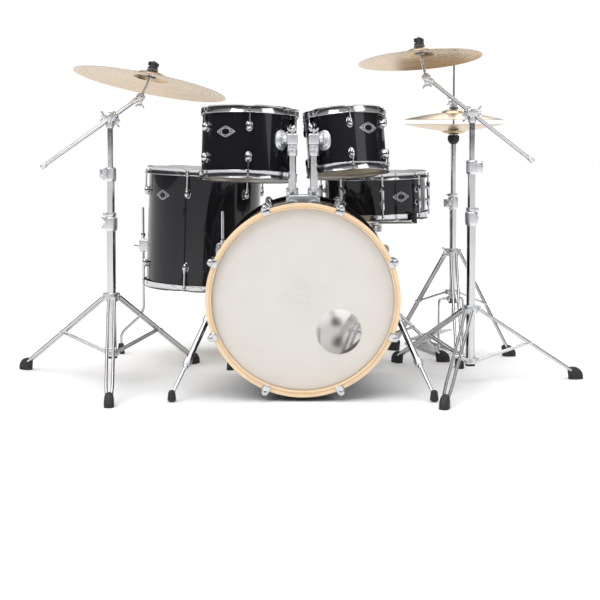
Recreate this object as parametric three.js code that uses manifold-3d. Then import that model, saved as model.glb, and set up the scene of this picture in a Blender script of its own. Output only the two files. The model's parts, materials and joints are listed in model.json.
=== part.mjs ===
// Five-piece acoustic drum kit with its stands, pedals and throne.
// Millimetres. +X to the audience's right, +Y towards the drummer, +Z up from the floor.
// The root group stands on the floor with its origin below the middle of its bounding box.
import * as THREE from "three";
import { mergeVertices } from "three/addons/utils/BufferGeometryUtils.js";
import Module from "manifold-3d";

// ---- fits shared by the whole kit ----
const GAP = 0.4; // between faces that touch
const RUN = 0.6; // radial clearance of a tube or rod sliding in a bore
const ROUND = 24; // facets of a drum, hoop or cymbal
const TUBE = 8; // facets of a stand tube

// ---- drums ----
const SHELL_WALL = 7.5;
const FILM = 1.2; // drum head film
const FLESH_SKIRT = 8; // flesh hoop height below the bearing edge
const FLESH_RIM = 3; // flesh hoop radial width
const STEEL = { wall: 2.2, rise: 13, flange: 8.5, drop: 3 };
const bass = { radius: 279.5, length: 457, height: 312, hoop: 299, front: 26, back: 13, rim: 6 };
const port = { radius: 70, x: 110, z: -99 };
const midTom = { radius: 152.5, depth: 203, at: [-175, 305, 781], tilt: 5.5, roll: 1.7 };
const highTom = { radius: 127, depth: 178, at: [138.5, 305, 787], tilt: 9, roll: -4 };
const floorTom = { radius: 203, depth: 406, at: [-362, 850, 474], tilt: 0, roll: 2 };
const snare = { radius: 178, depth: 140, at: [256, 730, 597], tilt: 0, roll: -1.5 };

// ---- tom holders on the bass drum ----
const bracket = { x: 57, y: 66, top: 626.5, foot: 581 };
const post = { radius: 12.5, x: 34, y: 175, bottom: 470, top: 764, collar: 19, collarRise: 22 };
const tilter = { z: 800, width: 34, depth: 30, height: 56, hub: 15, hubLength: 14 };
const tomArm = { radius: 6.5, plate: [46, 62, 8] };

// ---- bass drum spurs ----
const spur = { y: 150, z: 262, disc: 23, discDepth: 26, tube: 9.5, rod: 5.5 };
const spurFoot = { x: 402, y: 0, radius: 13, height: 34 };
const spurTubeLength = 205;
const spurRodOverlap = 95;

// ---- floor tom legs ----
const leg = { rod: 5, reach: 228, foot: 315, top: 545, bend: 155, knee: 75, azimuths: [-98, 20.6, 141] };
const legBracket = { width: 30, height: 48, z: 405, out: 15 };
const legFoot = { radius: 13, height: 38 };

// ---- snare stand ----
const snareStand = { feet: [118, 238, 358], reach: 250, collar: 235, brace: 90, tube: 12, top: 400 };
const throwOff = { hub: 8, width: 24, length: 60 };
const basket = { tube: 9, hub: 478, arms: [70, 190, 310], grip: 9, arm: 6 };

// ---- hi-hat ----
const hat = { at: [546, 840], radius: 178, gap: 16, edge: 839, bell: 26, rod: 3, rodTop: 1080, rodFoot: 130 };
const hatStand = { collar: 383, brace: 236, bottom: 200, tube: 12.5, top: 585, inner: 9.5, seat: 790 };
const hatFeet = [[1, 214], [146, 253], [270, 250]];
const hatBoard = { heading: 110, length: 245, width: 84, thickness: 7, heel: 300, heelZ: 24, toeZ: 92 };

// ---- boom stands ----
const boomTube = { base: 15, mid: 12.5, top: 9, arm: 6.5 };
const leftBoom = {
  name: "left_boom", side: 1, at: [-630, 340], feet: [[-965, 569], [-387, 692], [-584, -77]],
  collar: 281, bottom: 82, lower: 522, upper: 686, pivot: 870, angle: 35.2, tail: 286, reach: 117,
  cymbal: {
    name: "ride_cymbal", radius: 254, bell: 62, bow: 20, lean: 10.4, back: 7.5, rise: 50, offset: [24, 0, 12],
  },
};
const rightBoom = {
  name: "right_boom", side: -1, at: [550, 320], feet: [[334, 713], [915, 387], [422, -107]],
  collar: 243, bottom: 60, lower: 540, upper: 710, pivot: 887, angle: 38, tail: 262, reach: 186,
  cymbal: {
    name: "crash_cymbal", radius: 203, bell: 55, bow: 17, lean: -4, back: 7, rise: 58, offset: [-16, 0, 16],
  },
};
const CYMBAL = 1.6; // bronze thickness
const CROWN = 22; // bell height
const foot = { radius: 14, height: 32 };
const legRod = 8;
const braceRod = 5.4;

// ---- kick pedal ----
const kick = { width: 92, front: 522, back: 850, base: 8, axleY: 548, axleZ: 196, heelY: 836, heelZ: 22 };
const kickBoard = { width: 78, thickness: 7, length: 246, toeZ: 112 };
const beater = { shaft: 4, length: 158, rest: 36, head: 24, axle: 6 };

// ---- throne ----
const throne = { at: [0, 1300], seat: 152, seatTop: 490, seatDepth: 76, post: 11, tube: 14, feet: 190 };
const throneStand = { top: 330, bottom: 95, collar: 300, headings: [30, 150, 270] };

// ---- solids ----
const wasm = await Module();
wasm.setup();
const rad = THREE.MathUtils.degToRad;
const vec = (x, y, z) => new THREE.Vector3(x, y, z);

// A closed geometry as a manifold-3d solid, with its faces turned outwards.
function solid(geometry) {
  const bare = geometry.index ? geometry.toNonIndexed() : geometry.clone();
  bare.deleteAttribute("normal");
  bare.deleteAttribute("uv");
  const merged = mergeVertices(bare, 1e-3);
  const corners = merged.index.array;
  const triVerts = [];
  for (let i = 0; i < corners.length; i += 3) {
    const [a, b, c] = corners.slice(i, i + 3);
    if (a !== b && b !== c && c !== a) triVerts.push(a, b, c);
  }
  const vertProperties = merged.attributes.position.array;
  const make = (faces) =>
    new wasm.Manifold(new wasm.Mesh({ numProp: 3, vertProperties, triVerts: new Uint32Array(faces) }));
  const made = make(triVerts);
  return made.volume() > 0 ? made : make(triVerts.reverse());
}

const union = (...pieces) => pieces.reduce((whole, piece) => whole.add(piece));
const cut = (body, ...tools) => tools.reduce((whole, tool) => whole.subtract(tool), body);

// A [radius, height] outline turned about +Z; an outline clear of the axis closes on itself.
function turnedGeometry(outline, facets = ROUND) {
  const points = outline.map(([r, z]) => new THREE.Vector2(r, z));
  if (outline[0][0] > 0) points.push(points[0].clone());
  return new THREE.LatheGeometry(points, facets).rotateX(Math.PI / 2);
}
const turned = (outline, facets, x = 0, y = 0) => solid(turnedGeometry(outline, facets).translate(x, y, 0));

// A plain ring or disc between two heights.
function ring(inner, outer, low, high, facets = TUBE, x = 0, y = 0) {
  return turned([[inner, low], [outer, low], [outer, high], [inner, high]], facets, x, y);
}

// A round bar from a to b.
function bar(a, b, radius, facets = 8) {
  const from = vec(...a);
  const along = vec(...b).sub(from);
  const turn = new THREE.Quaternion().setFromUnitVectors(vec(0, 1, 0), along.clone().normalize());
  const geometry = new THREE.CylinderGeometry(radius, radius, along.length(), facets);
  return solid(geometry.applyQuaternion(turn).translate(...from.addScaledVector(along, 0.5).toArray()));
}

// A bar bent at each inner point, with a ball filling each bend.
function bentBar(points, radius) {
  const runs = points.slice(1).map((point, i) => bar(points[i], point, radius));
  const bends = points.slice(1, -1).map((point) =>
    solid(new THREE.IcosahedronGeometry(radius * 1.2, 0).translate(...point)));
  return union(...runs, ...bends);
}

// A box by its centre, turned about +Z by a heading in degrees.
function block(size, centre, heading = 0) {
  return solid(new THREE.BoxGeometry(...size).rotateZ(rad(heading)).translate(...centre));
}

// ---- the assembly ----
const kit = new THREE.Group();
const finishes = {
  blackGloss: { color: 0x101014, roughness: 0.12, metalness: 0 },
  maple: { color: 0xd9b583, roughness: 0.35, metalness: 0 },
  chrome: { color: 0xd6d8dc, roughness: 0.12, metalness: 1 },
  coated: { color: 0xe6e2da, roughness: 0.7, metalness: 0 },
  clearFilm: { color: 0xcdc6b4, roughness: 0.25, metalness: 0 },
  bronze: { color: 0xc2a05e, roughness: 0.32, metalness: 1 },
  castMetal: { color: 0xc4c6ca, roughness: 0.3, metalness: 1 },
  blackVinyl: { color: 0x141416, roughness: 0.45, metalness: 0 },
};

// Adds one named piece, in its own finish, to the kit or to a drum's own group.
function addPiece(name, shape, finish, parent = kit) {
  const { vertProperties, triVerts } = shape.getMesh();
  const geometry = new THREE.BufferGeometry();
  geometry.setAttribute("position", new THREE.BufferAttribute(vertProperties, 3));
  geometry.setIndex(new THREE.BufferAttribute(triVerts, 1));
  geometry.computeVertexNormals();
  const mesh = new THREE.Mesh(geometry, new THREE.MeshStandardMaterial(finishes[finish]));
  mesh.name = name;
  parent.add(mesh);
}

// A drum's own frame: +Z from the resonant head to the batter head, origin in the middle.
function drumGroup({ at, tilt, roll }) {
  const group = new THREE.Group();
  group.position.set(...at);
  group.rotation.set(-rad(tilt), rad(roll), 0);
  group.updateMatrixWorld(true);
  kit.add(group);
  return group;
}

// ---- drums, each end drawn with its bearing edge at height 0 and outwards up ----
function headOutline(radius, rim) {
  const inside = radius + GAP;
  return [
    [0, GAP], [inside, GAP], [inside, -FLESH_SKIRT], [inside + rim, -FLESH_SKIRT],
    [inside + rim, GAP + FILM], [0, GAP + FILM],
  ];
}

function steelHoopOutline(radius) {
  const inside = radius + GAP + FLESH_RIM + GAP;
  const seat = GAP + FILM + GAP;
  const low = -FLESH_SKIRT - STEEL.drop;
  return [
    [radius + 1.5, seat], [inside, seat], [inside, low], [radius + STEEL.flange, low],
    [inside + STEEL.wall, low + 4], [inside + STEEL.wall, STEEL.rise], [inside - 1, STEEL.rise],
  ];
}

function woodHoopOutline({ radius, rim, hoop, front, back }) {
  const inside = radius + GAP + rim + GAP;
  const seat = GAP + FILM + GAP;
  return [
    [radius + 1.5, seat], [inside, seat], [inside, -back], [hoop, -back], [hoop, front], [radius + 1.5, front],
  ];
}

// Turns an end outline at the batter (+1) or resonant (-1) end of a drum of this depth.
function atEnd(outline, depth, end) {
  const placed = outline.map(([r, z]) => [r, end * (depth / 2 + z)]);
  return turned(placed);
}

const shellShape = (radius, depth, wall = SHELL_WALL) =>
  ring(radius - wall, radius, -depth / 2, depth / 2, ROUND);

// Shell, hoops and heads of one steel-hooped drum.
function steelDrum(name, size, { shell, resonant = true }) {
  const group = drumGroup(size);
  const { radius, depth } = size;
  addPiece(`${name}_shell`, shell ?? shellShape(radius, depth), "blackGloss", group);
  addPiece(`${name}_top_hoop`, atEnd(steelHoopOutline(radius), depth, 1), "chrome", group);
  addPiece(`${name}_bottom_hoop`, atEnd(steelHoopOutline(radius), depth, -1), "chrome", group);
  addPiece(`${name}_batter_head`, atEnd(headOutline(radius, FLESH_RIM), depth, 1), "coated", group);
  if (resonant) {
    addPiece(`${name}_resonant_head`, atEnd(headOutline(radius, FLESH_RIM), depth, -1), "clearFilm", group);
  }
  return group;
}

// ---- bass drum ----
// The bass group's +Z runs away from the audience and its +Y runs down.
const bassMiddle = bass.front + bass.length / 2;
const toBass = (x, y, z) => [x, bass.height - z, y - bassMiddle];

function bassDrum() {
  const group = new THREE.Group();
  group.position.set(0, bassMiddle, bass.height);
  group.rotation.set(-Math.PI / 2, 0, 0);
  kit.add(group);
  const postHoles = [-post.x, post.x].map((x) =>
    bar(toBass(x, post.y, bass.height), toBass(x, post.y, bracket.top), post.radius + RUN, TUBE));
  addPiece("bass_shell", cut(shellShape(bass.radius, bass.length), ...postHoles), "blackGloss", group);
  const front = atEnd(headOutline(bass.radius, bass.rim), bass.length, -1);
  const portCut = ring(0, port.radius, -bass.length, 0, 24, port.x, -port.z);
  addPiece("bass_front_head", cut(front, portCut), "coated", group);
  addPiece("bass_batter_head", atEnd(headOutline(bass.radius, bass.rim), bass.length, 1), "clearFilm", group);
  addPiece("bass_front_hoop", atEnd(woodHoopOutline(bass), bass.length, -1), "maple", group);
  addPiece("bass_rear_hoop", atEnd(woodHoopOutline(bass), bass.length, 1), "maple", group);
}

// The cast bracket on top of the bass shell, bored for both tom posts.
function tomBracket() {
  const height = bracket.top - bracket.foot;
  const body = block([2 * bracket.x, bracket.y, height], [0, post.y, bracket.foot + height / 2]);
  const saddle = turnedGeometry([
    [0, -bass.length / 2], [bass.radius + GAP, -bass.length / 2],
    [bass.radius + GAP, bass.length / 2], [0, bass.length / 2],
  ]).rotateX(-Math.PI / 2).translate(0, bassMiddle, bass.height);
  const bores = [-post.x, post.x].map((x) =>
    bar([x, post.y, bracket.foot - 60], [x, post.y, bracket.top + 10], post.radius + RUN, TUBE));
  addPiece("tom_mount_bracket", cut(body, solid(saddle), ...bores), "castMetal");
}

// ---- rack toms: post, tilting arm, drum ----
function rackTom(name, size, side) {
  const x = side * post.x;
  const collarTop = bracket.top + GAP + post.collarRise;
  addPiece(`${name}_post`, union(
    bar([x, post.y, post.bottom], [x, post.y, post.top + 2], post.radius, TUBE),
    ring(post.radius - 1, post.collar, bracket.top + GAP, collarTop, TUBE, x, post.y),
    block([tilter.width, tilter.depth, tilter.height], [x, post.y, post.top + tilter.height / 2]),
  ), "chrome");

  const group = steelDrum(name, size, {});
  const hubStart = x + side * (tilter.width / 2 + GAP);
  const hubMiddle = hubStart + side * (tilter.hubLength / 2);
  const [drumX, drumY] = size.at;
  const towards = vec(hubMiddle - drumX, post.y - drumY, 0).normalize();
  const [plateWidth, plateHeight, plateDepth] = tomArm.plate;
  const plateAt = [drumX + towards.x * size.radius, drumY + towards.y * size.radius, tilter.z];
  const heading = THREE.MathUtils.radToDeg(Math.atan2(towards.y, towards.x)) + 90;
  const drumSpace = turnedGeometry([
    [0, -size.depth], [size.radius + GAP, -size.depth], [size.radius + GAP, size.depth], [0, size.depth],
  ]).applyMatrix4(group.matrixWorld);
  const arm = union(
    bar([hubStart, post.y, tilter.z], [hubStart + side * tilter.hubLength, post.y, tilter.z], tilter.hub, TUBE),
    bar([hubMiddle, post.y, tilter.z], plateAt, tomArm.radius),
    block([plateWidth, 2 * plateDepth, plateHeight], plateAt, heading),
  );
  addPiece(`${name}_arm`, cut(arm, solid(drumSpace)), "castMetal");
}

// ---- bass drum spurs: a folding tube and the rod that slides in it ----
function bassSpur(name, side) {
  const drop = (spur.z - bass.height) / bass.radius;
  const out = vec(side * Math.sqrt(1 - drop * drop), 0, drop);
  const axis = vec(0, spur.y, bass.height);
  const onAxis = (distance) => axis.clone().addScaledVector(out, distance);
  const pivot = onAxis(bass.radius + spur.discDepth * 0.6);
  const end = vec(side * spurFoot.x, spurFoot.y, spurFoot.height / 2);
  const along = end.clone().sub(pivot).normalize();
  const reach = (distance) => pivot.clone().addScaledVector(along, distance).toArray();
  const discStart = onAxis(bass.radius + GAP).toArray();
  const discEnd = onAxis(bass.radius + spur.discDepth).toArray();
  addPiece(`${name}_spur_tube`, cut(
    union(bar(discStart, discEnd, spur.disc, TUBE), bar(reach(0), reach(spurTubeLength), spur.tube, TUBE)),
    bar(reach(spur.disc + 4), reach(spurTubeLength + 10), spur.rod + RUN),
  ), "chrome");
  const footX = side * spurFoot.x;
  addPiece(`${name}_spur_rod`, union(
    bar(reach(spurTubeLength - spurRodOverlap), end.toArray(), spur.rod),
    turned([[0, 0], [spurFoot.radius, 0], [spurFoot.radius * 0.7, spurFoot.height], [0, spurFoot.height]],
      TUBE, footX, spurFoot.y),
  ), "chrome");
}

// ---- floor tom and its three sliding legs ----
const polar = ([x, y], azimuth, reach) =>
  [x + reach * Math.sin(rad(azimuth)), y - reach * Math.cos(rad(azimuth))];

function floorTomWithLegs() {
  const { at, radius, depth } = floorTom;
  const lean = new THREE.Group();
  lean.position.set(...at);
  lean.rotation.set(0, rad(floorTom.roll), 0);
  lean.updateMatrixWorld(true);
  const toDrum = lean.matrixWorld.clone().invert();
  const out = leg.reach + legBracket.out - radius + 3;
  const brackets = leg.azimuths.map((azimuth) => {
    const [x, y] = polar(at, azimuth, radius - 3 + out / 2);
    const size = [legBracket.width, out, legBracket.height];
    return solid(new THREE.BoxGeometry(...size).rotateZ(rad(azimuth)).translate(x, y, legBracket.z)
      .applyMatrix4(toDrum));
  });
  const bores = leg.azimuths.map((azimuth) => {
    const [x, y] = polar(at, azimuth, leg.reach);
    const bore = new THREE.CylinderGeometry(leg.rod + RUN, leg.rod + RUN, 3 * legBracket.height, 8);
    return solid(bore.rotateX(Math.PI / 2).translate(x, y, legBracket.z).applyMatrix4(toDrum));
  });
  const shell = cut(union(shellShape(radius, depth), ...brackets), ...bores);
  steelDrum("floor_tom", floorTom, { shell, resonant: false });
  leg.azimuths.forEach((azimuth, i) => {
    const upright = polar(at, azimuth, leg.reach);
    const stance = polar(at, azimuth, leg.foot);
    const path = [[...upright, leg.top], [...upright, leg.bend], [...stance, leg.knee], [...stance, 10]];
    const rod = bentBar(path, leg.rod);
    const tip = [[0, 0], [legFoot.radius, 0], [legFoot.radius * 0.6, legFoot.height], [0, legFoot.height]];
    addPiece(`floor_tom_leg_${i + 1}`, union(rod, turned(tip, TUBE, ...stance)), "chrome");
  });
}

// ---- stands ----
// A closed-bottomed tube with legs, braces, collars and rubber feet.
function tripodShape({ at, feet, collar, brace, bottom, top, radius, bore, rodHole = 0, clampTop = true }) {
  const [x, y] = at;
  const pieces = [ring(0, radius, bottom, clampTop ? top - 6 : top, TUBE, x, y)];
  pieces.push(ring(0, radius + 8, collar - 13, collar + 13, TUBE, x, y));
  pieces.push(ring(0, radius + 6, brace - 9, brace + 9, TUBE, x, y));
  if (clampTop) pieces.push(ring(0, radius + 6, top - 44, top, TUBE, x, y));
  for (const [footX, footY] of feet) {
    const out = vec(footX - x, footY - y, 0).normalize();
    const start = [x + out.x * (radius + 3), y + out.y * (radius + 3)];
    const hip = vec(...start, collar);
    const toe = vec(footX, footY, foot.height * 0.6);
    const middle = hip.clone().lerp(toe, 0.52);
    pieces.push(bar(hip.toArray(), toe.toArray(), legRod, 6));
    pieces.push(bar([...start, brace], middle.toArray(), braceRod, 6));
    const pad = [[0, 0], [foot.radius, 0], [foot.radius * 0.75, foot.height], [0, foot.height]];
    pieces.push(turned(pad, 8, footX, footY));
  }
  const bores = [ring(0, bore, bottom + 8, top + 1, TUBE, x, y)];
  if (rodHole) bores.push(ring(0, rodHole, bottom - 1, top, TUBE, x, y));
  return cut(union(...pieces), ...bores);
}

const spread = (at, headings, reach) => headings.map((heading) =>
  [at[0] + reach * Math.cos(rad(heading)), at[1] + reach * Math.sin(rad(heading))]);

// Half outline of a cymbal: the underside from the edge to the bell, then back over the top.
function cymbalOutline({ radius, bell, bow, hole = 0 }, height, flip = 1) {
  const under = [[radius, 0], [bell, bow], [bell * 0.62, bow + CROWN * 0.78], [hole, bow + CROWN]];
  const over = under.map(([r, z]) => [r, z + CYMBAL]).reverse();
  const outline = [...under, ...over].map(([r, z]) => [r, height + flip * z]);
  return hole ? outline : [...outline.slice(4), ...outline.slice(0, 4)].reverse();
}

function boomStand(stand) {
  const { name, side, at, feet, collar, bottom, lower, upper, pivot, angle, tail, reach, cymbal } = stand;
  const [x, y] = at;
  addPiece(`${name}_tripod`, tripodShape({
    at, feet, collar, bottom, brace: bottom + 14, top: lower + 24, radius: boomTube.base,
    bore: boomTube.mid + RUN,
  }), "chrome");

  const knuckle = 16;
  addPiece(`${name}_upper_tube`, union(
    bar([x, y, lower - 140], [x, y, upper], boomTube.mid, TUBE),
    ring(boomTube.top - 1, boomTube.mid + 6, upper - 22, upper + 22, TUBE, x, y),
    bar([x, y, upper - 20], [x, y, pivot], boomTube.top, TUBE),
    bar([x, y - boomTube.top, pivot], [x, y + boomTube.top, pivot], knuckle, TUBE),
  ), "chrome");

  // the arm lies beside the stand, in a vertical plane
  const cheek = y + boomTube.top + GAP;
  const armY = cheek + 24;
  const up = vec(side * Math.cos(rad(angle)), 0, Math.sin(rad(angle)));
  const onArm = (distance) => [x + up.x * distance, armY, pivot + up.z * distance];
  const jaw = new THREE.BoxGeometry(42, 24, 34).rotateY(-side * rad(angle)).translate(x, armY, pivot);
  addPiece(`${name}_clamp`, cut(
    union(bar([x, cheek, pivot], [x, cheek + 14, pivot], knuckle, TUBE), solid(jaw)),
    bar(onArm(-60), onArm(60), boomTube.arm + RUN),
  ), "castMetal");

  const eye = 9.5;
  const tip = onArm(reach);
  addPiece(`${name}_arm`, union(
    bar(onArm(-tail), tip, boomTube.arm),
    bar([tip[0], armY - 8, tip[2]], [tip[0], armY + 8, tip[2]], eye, TUBE),
  ), "chrome");

  const pin = armY + 8 + GAP;
  const normal = vec(Math.sin(rad(cymbal.lean)), Math.sin(rad(cymbal.back)), 1).normalize();
  const turn = new THREE.Quaternion().setFromUnitVectors(vec(0, 0, 1), normal);
  const base = vec(tip[0], pin + 7, tip[2]);
  const under = base.clone().add(vec(...cymbal.offset));
  const plate = turnedGeometry(cymbalOutline(cymbal, cymbal.rise - cymbal.bow), ROUND - 4)
    .applyQuaternion(turn).translate(...under.toArray());
  const crown = under.clone().addScaledVector(normal, cymbal.rise + CROWN / 2).toArray();
  const rodTop = under.clone().addScaledVector(normal, cymbal.rise + CROWN + 30).toArray();
  addPiece(cymbal.name, union(
    bar([tip[0], pin, tip[2]], [tip[0], pin + 14, tip[2]], eye, TUBE),
    bar(base.toArray(), crown, 5),
    bar(crown, rodTop, 5),
    solid(plate),
  ), "bronze");
}

// ---- snare drum on its basket stand ----
function snareOnStand() {
  const at = snare.at.slice(0, 2);
  const [x, y] = at;
  const { reach, collar, brace, tube, top } = snareStand;
  addPiece("snare_stand_tripod", tripodShape({
    at, feet: spread(at, snareStand.feet, reach), collar, brace, bottom: brace - 20, top, radius: tube,
    bore: basket.tube + RUN,
  }), "chrome");
  const knuckle = 13;
  addPiece("snare_stand_tube", union(
    bar([x, y, collar - 60], [x, y, basket.hub], basket.tube, TUBE),
    bar([x - basket.tube, y, basket.hub], [x + basket.tube, y, basket.hub], knuckle, TUBE),
  ), "chrome");

  const group = steelDrum("snare", snare, { resonant: false });
  // the basket in the drum's frame, its arms just under the bottom hoop
  const shelf = -(snare.depth / 2 + STEEL.rise) - basket.arm - 2;
  const hubZ = basket.hub - snare.at[2];
  const ear = basket.tube + GAP;
  const rim = snare.radius + STEEL.flange + 1.2 + basket.grip;
  const arms = basket.arms.map((heading) => {
    const c = Math.cos(rad(heading));
    const s = Math.sin(rad(heading));
    return union(
      bar([c * 12, s * 12, hubZ + 20], [c * rim, s * rim, shelf], basket.arm, 6),
      bar([c * rim, s * rim, shelf - 7], [c * rim, s * rim, shelf + 36], basket.grip),
    );
  });
  addPiece("snare_basket", union(
    bar([ear, 0, hubZ], [ear + 15, 0, hubZ], knuckle, TUBE),
    block([15, 18, 24], [ear + 7.5, 0, hubZ + 11]),
    ring(0, 32, hubZ + 15, hubZ + 27),
    ...arms,
  ), "chrome", group);
  const { hub, width, length } = throwOff;
  const leverY = snare.radius + hub + 2;
  addPiece("snare_throw_off", union(
    bar([-width / 2, leverY, 0], [width / 2, leverY, 0], hub, TUBE),
    block([width * 0.6, 5, length], [0, leverY + 2, length / 2]),
  ), "castMetal", group);
}

// ---- hi-hat ----
function hiHat() {
  const { at, radius, gap, edge, bell, rod } = hat;
  const [x, y] = at;
  const bore = rod + RUN;
  const heading = rad(hatBoard.heading);
  const along = [Math.cos(heading), Math.sin(heading)];
  const onBoard = (distance, aside = 0) =>
    [x + along[0] * distance - along[1] * aside, y + along[1] * distance + along[0] * aside];
  const feet = hatFeet.map(([angle, reach]) => spread(at, [angle], reach)[0]);
  const stand = tripodShape({
    at, feet, collar: hatStand.collar, brace: hatStand.brace, bottom: hatStand.bottom, top: hatStand.top,
    radius: hatStand.tube, bore: hatStand.inner + RUN, rodHole: bore,
  });
  // the pedal frame: two side rods down to a crossbar, and two runners back to the heel plate
  const half = hatBoard.width / 2 + 7;
  const shoulder = hatStand.bottom + 12;
  const frame = [1, -1].map((aside) => union(
    bar([...onBoard(10, 0), shoulder], [...onBoard(10, aside * half), shoulder], 5, 6),
    bar([...onBoard(10, aside * half), shoulder + 5], [...onBoard(10, aside * half), 4], 5, 6),
    bar([...onBoard(8, aside * half), 4], [...onBoard(hatBoard.heel, aside * half), 4], 4, 6),
  ));
  const crossbar = (distance) => block([12, 2 * half, 8], [...onBoard(distance), 4], hatBoard.heading);
  addPiece("hihat_tripod", union(stand, ...frame, crossbar(10), crossbar(hatBoard.heel)), "chrome");

  const seat = edge - bell - CYMBAL - GAP;
  addPiece("hihat_upper_tube", union(
    ring(bore, hatStand.inner, hatStand.collar - 60, hatStand.seat, TUBE, x, y),
    ring(bore, 20, hatStand.seat - 10, seat, TUBE, x, y),
  ), "chrome");

  const bottom = { radius, bell: 52, bow: bell - 12, hole: 7 };
  const crown = bottom.bow + CROWN;
  const lift = seat + GAP - (edge - crown - CYMBAL);
  const lower = turnedGeometry(cymbalOutline(bottom, edge, -1), ROUND - 4);
  addPiece("hihat_bottom_cymbal", solid(lower.translate(x, y, lift)), "bronze");

  const top = turnedGeometry(cymbalOutline({ ...bottom, hole: 0 }, edge + lift + gap), ROUND - 4);
  const clutch = edge + lift + gap + crown;
  addPiece("hihat_top_cymbal", union(
    solid(top.translate(x, y, 0)),
    bar([x, y, hat.rodFoot], [x, y, hat.rodTop], rod),
    bar([x, y, clutch - 2], [x, y, clutch + 40], 9),
  ), "bronze");

  const heel = [...onBoard(hatBoard.heel - 12), hatBoard.heelZ];
  const run = Math.sqrt(hatBoard.length ** 2 - (hatBoard.toeZ - hatBoard.heelZ) ** 2);
  const toe = [...onBoard(hatBoard.heel - 12 - run), hatBoard.toeZ];
  const pitch = Math.asin((hatBoard.toeZ - hatBoard.heelZ) / hatBoard.length);
  const plank = new THREE.BoxGeometry(hatBoard.length, hatBoard.width, hatBoard.thickness)
    .rotateY(pitch).rotateZ(heading)
    .translate(...heel.map((value, i) => (value + toe[i]) / 2));
  const pin = [1, -1].map((aside) =>
    [...onBoard(hatBoard.heel - 12, aside * hatBoard.width / 2), hatBoard.heelZ]);
  addPiece("hihat_footboard", union(solid(plank), bar(pin[0], pin[1], 6)), "castMetal");
}

// ---- kick pedal ----
function kickPedal() {
  const { width, front, back, base, axleY, axleZ, heelY, heelZ } = kick;
  const inside = width / 2 - 8;
  const sides = [1, -1].map((side) => {
    const x = side * (inside + 4);
    return union(
      block([8, 24, axleZ + 12 - base / 2], [x, axleY, (axleZ + 12 + base / 2) / 2]),
      block([8, 22, heelZ + 10 - base / 2], [x, heelY, (heelZ + 10 + base / 2) / 2]),
    );
  });
  const plate = block([width, back - front, base], [0, (front + back) / 2, base / 2]);
  const hoopGrip = block([44, 40, base], [0, front - 18, base / 2]);
  const axleBore = bar([-width, axleY, axleZ], [width, axleY, axleZ], beater.axle + RUN);
  addPiece("kick_pedal_base", cut(union(plate, hoopGrip, ...sides), axleBore), "castMetal");

  const { length, toeZ, thickness } = kickBoard;
  const pitch = Math.asin((toeZ - heelZ) / length);
  const plank = new THREE.BoxGeometry(kickBoard.width - 8, length, thickness)
    .rotateX(-pitch)
    .translate(0, heelY - (length / 2) * Math.cos(pitch), heelZ + (length / 2) * Math.sin(pitch));
  const pinHalf = inside - GAP;
  addPiece("kick_footboard", union(
    solid(plank), bar([-pinHalf, heelY, heelZ], [pinHalf, heelY, heelZ], thickness),
  ), "castMetal");

  const lean = rad(beater.rest);
  const ball = [0, axleY + beater.length * Math.sin(lean), axleZ + beater.length * Math.cos(lean)];
  addPiece("kick_beater", union(
    bar([-width / 2 - 4, axleY, axleZ], [width / 2 + 4, axleY, axleZ], beater.axle),
    bar([0, axleY, axleZ], ball, beater.shaft),
    solid(new THREE.IcosahedronGeometry(beater.head, 1).translate(...ball)),
  ), "chrome");
}

// ---- throne ----
function drummerThrone() {
  const { at, seat, seatTop, seatDepth, feet } = throne;
  const [x, y] = at;
  const under = seatTop - seatDepth;
  addPiece("throne_tripod", tripodShape({
    at, feet: spread(at, throneStand.headings, feet), collar: throneStand.collar,
    brace: throneStand.bottom + 14, bottom: throneStand.bottom, top: throneStand.top,
    radius: throne.tube, bore: throne.post + RUN, clampTop: false,
  }), "chrome");
  addPiece("throne_post", union(
    bar([x, y, throneStand.bottom + 50], [x, y, under - 10], throne.post, TUBE),
    ring(0, 34, under - 46, under - GAP, TUBE, x, y),
  ), "castMetal");
  addPiece("throne_seat", turned([
    [0, under], [seat - 8, under], [seat, under + 12], [seat, seatTop - 16], [seat - 16, seatTop], [0, seatTop],
  ], ROUND - 4, x, y), "blackVinyl");
}

bassDrum();
tomBracket();
rackTom("mid_tom", midTom, -1);
rackTom("high_tom", highTom, 1);
bassSpur("left", -1);
bassSpur("right", 1);
floorTomWithLegs();
snareOnStand();
hiHat();
boomStand(leftBoom);
boomStand(rightBoom);
kickPedal();
drummerThrone();

// the origin is on the floor below the middle of the kit's bounding box
kit.updateMatrixWorld(true);
const extent = new THREE.Box3().setFromObject(kit, true);
const middle = extent.getCenter(vec(0, 0, 0));
kit.position.set(-middle.x, -middle.y, -extent.min.z);

export default kit;
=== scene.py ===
"""Acoustic drum kit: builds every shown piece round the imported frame, in metres."""
import json
import math

import bmesh
import bpy
import numpy as np
from bpy.props import FloatProperty, FloatVectorProperty, PointerProperty
from mathutils import Matrix, Vector


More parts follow.
